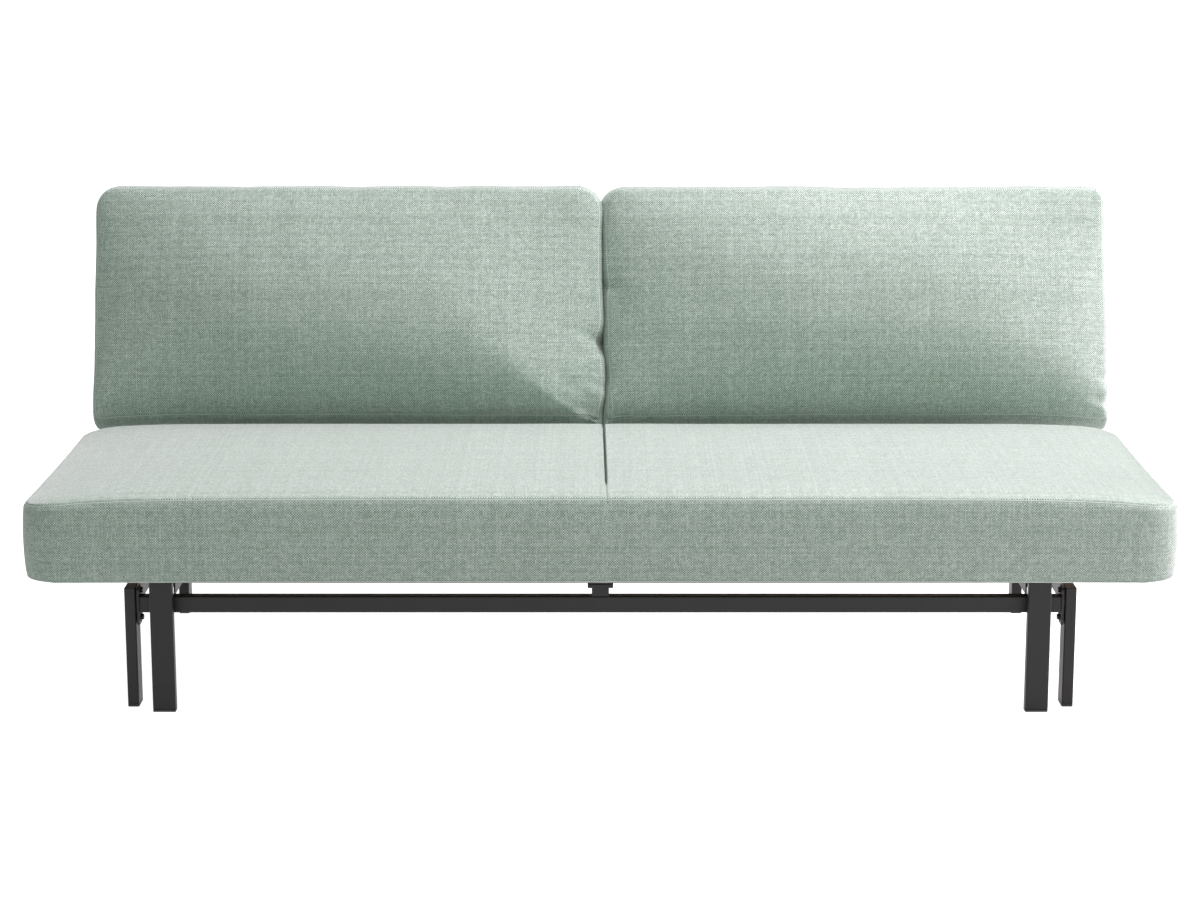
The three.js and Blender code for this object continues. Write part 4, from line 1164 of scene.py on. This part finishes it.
def make_floor():
    """A pale floor that keeps the shadow near the object and is plain white further out."""
    corners = [(x * FLOOR_HALF, y * FLOOR_HALF, 0) for x, y in ((-1, -1), (1, -1), (1, 1), (-1, 1))]
    floor = mesh_object("floor", corners, [(0, 1, 2, 3)])
    material = bpy.data.materials.new("pale_floor")
    material.use_nodes = True
    tree = material.node_tree
    tree.nodes.clear()
    add = tree.nodes.new("ShaderNodeAddShader")
    diffuse = tree.nodes.new("ShaderNodeBsdfDiffuse")
    diffuse.inputs["Color"].default_value = (FLOOR_TONE, FLOOR_TONE, FLOOR_TONE, 1)
    glow = tree.nodes.new("ShaderNodeEmission")
    seen = seen_directly(tree, tree.nodes.new("ShaderNodeLightPath"))
    place = tree.nodes.new("ShaderNodeTexCoord")
    far = tree.nodes.new("ShaderNodeVectorMath")
    far.operation = "LENGTH"
    ramp = tree.nodes.new("ShaderNodeMapRange")
    ramp.interpolation_type = "SMOOTHSTEP"
    ramp.inputs["From Min"].default_value = FLOOR_GLOW_NEAR
    ramp.inputs["From Max"].default_value = FLOOR_GLOW_FAR
    ramp.inputs["To Min"].default_value = FLOOR_GLOW
    ramp.inputs["To Max"].default_value = 1.0
    strength = tree.nodes.new("ShaderNodeMath")
    strength.operation = "MULTIPLY"
    output = tree.nodes.new("ShaderNodeOutputMaterial")
    tree.links.new(place.outputs["Object"], far.inputs[0])
    tree.links.new(far.outputs["Value"], ramp.inputs["Value"])
    tree.links.new(seen, strength.inputs[0])
    tree.links.new(ramp.outputs[0], strength.inputs[1])
    tree.links.new(strength.outputs[0], glow.inputs["Strength"])
    tree.links.new(diffuse.outputs[0], add.inputs[0])
    tree.links.new(glow.outputs[0], add.inputs[1])
    tree.links.new(add.outputs[0], output.inputs["Surface"])
    floor.data.materials.append(material)


# The main light comes from the right, with a softer one above the front and a weak one above the rear
LAMP_TARGET = (0, 0.1, 0.5)
LAMP_SIZE = 2.4
# Name, place, watts and tint
LAMPS = [
    ("key", (3.31, 0.1, 3.09), 166, (1.09, 0.94, 1.04)),
    ("top_front", (1.61, -0.65, 4.31), 103, (1.05, 0.97, 1.02)),
    ("top_rear", (0.46, 1.81, 4.31), 32, (1.0, 1.0, 1.0)),
]
WORLD_LEVEL = 0.31
WORLD_TINT = (0.93, 1.04, 0.96)


def area_lamp(name, place, power, tint):
    data = bpy.data.lights.new(name, "AREA")
    data.color = tint
    data.shape = "SQUARE"
    data.size = LAMP_SIZE
    data.energy = power
    lamp = put(name, data)
    lamp.location = place
    lamp.rotation_euler = (Vector(LAMP_TARGET) - Vector(place)).to_track_quat("-Z", "Y").to_euler()


def make_light():
    world = bpy.data.worlds.new("studio")
    bpy.context.scene.world = world
    world.use_nodes = True
    tree = world.node_tree
    background = tree.nodes["Background"]
    path = tree.nodes.new("ShaderNodeLightPath")
    seen = seen_directly(tree, path)
    through = tree.nodes.new("ShaderNodeMath")
    through.operation = "MAXIMUM"
    strength = tree.nodes.new("ShaderNodeMapRange")
    strength.inputs["To Min"].default_value = WORLD_LEVEL
    strength.inputs["To Max"].default_value = 1.0
    tree.links.new(seen, through.inputs[0])
    tree.links.new(path.outputs["Is Transmission Ray"], through.inputs[1])
    tree.links.new(through.outputs[0], strength.inputs["Value"])
    tree.links.new(strength.outputs[0], background.inputs["Strength"])
    tint = tree.nodes.new("ShaderNodeMix")
    tint.data_type = "RGBA"
    tint.inputs[6].default_value = (*WORLD_TINT, 1)
    tint.inputs[7].default_value = (1, 1, 1, 1)
    tree.links.new(through.outputs[0], tint.inputs[0])
    tree.links.new(tint.outputs[2], background.inputs["Color"])
    for lamp in LAMPS:
        area_lamp(*lamp)


def make_camera():
    data = bpy.data.cameras.new("photo_view")
    data.sensor_width = SENSOR
    data.lens = CAMERA_FOCAL_PX / PHOTO_WIDTH * SENSOR
    data.shift_y = CAMERA_SHIFT
    data.shift_x = -PRINCIPAL_OFFSET_PX / PHOTO_WIDTH
    camera = put("photo_view", data)
    seat_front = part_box("seat_pad")[0].y
    camera.location = (0, seat_front - CAMERA_DISTANCE, CAMERA_HEIGHT)
    camera.rotation_euler = (math.pi / 2 - CAMERA_PITCH, 0, 0)
    bpy.context.scene.camera = camera


bpy.context.scene.view_settings.view_transform = "Standard"
make_camera()
make_floor()
make_light()
dress_cad_nodes()
seat_cover = make_seat_pad()
make_back_cushion("left", seat_cover)
make_back_cushion("right", seat_cover)
make_fasteners()
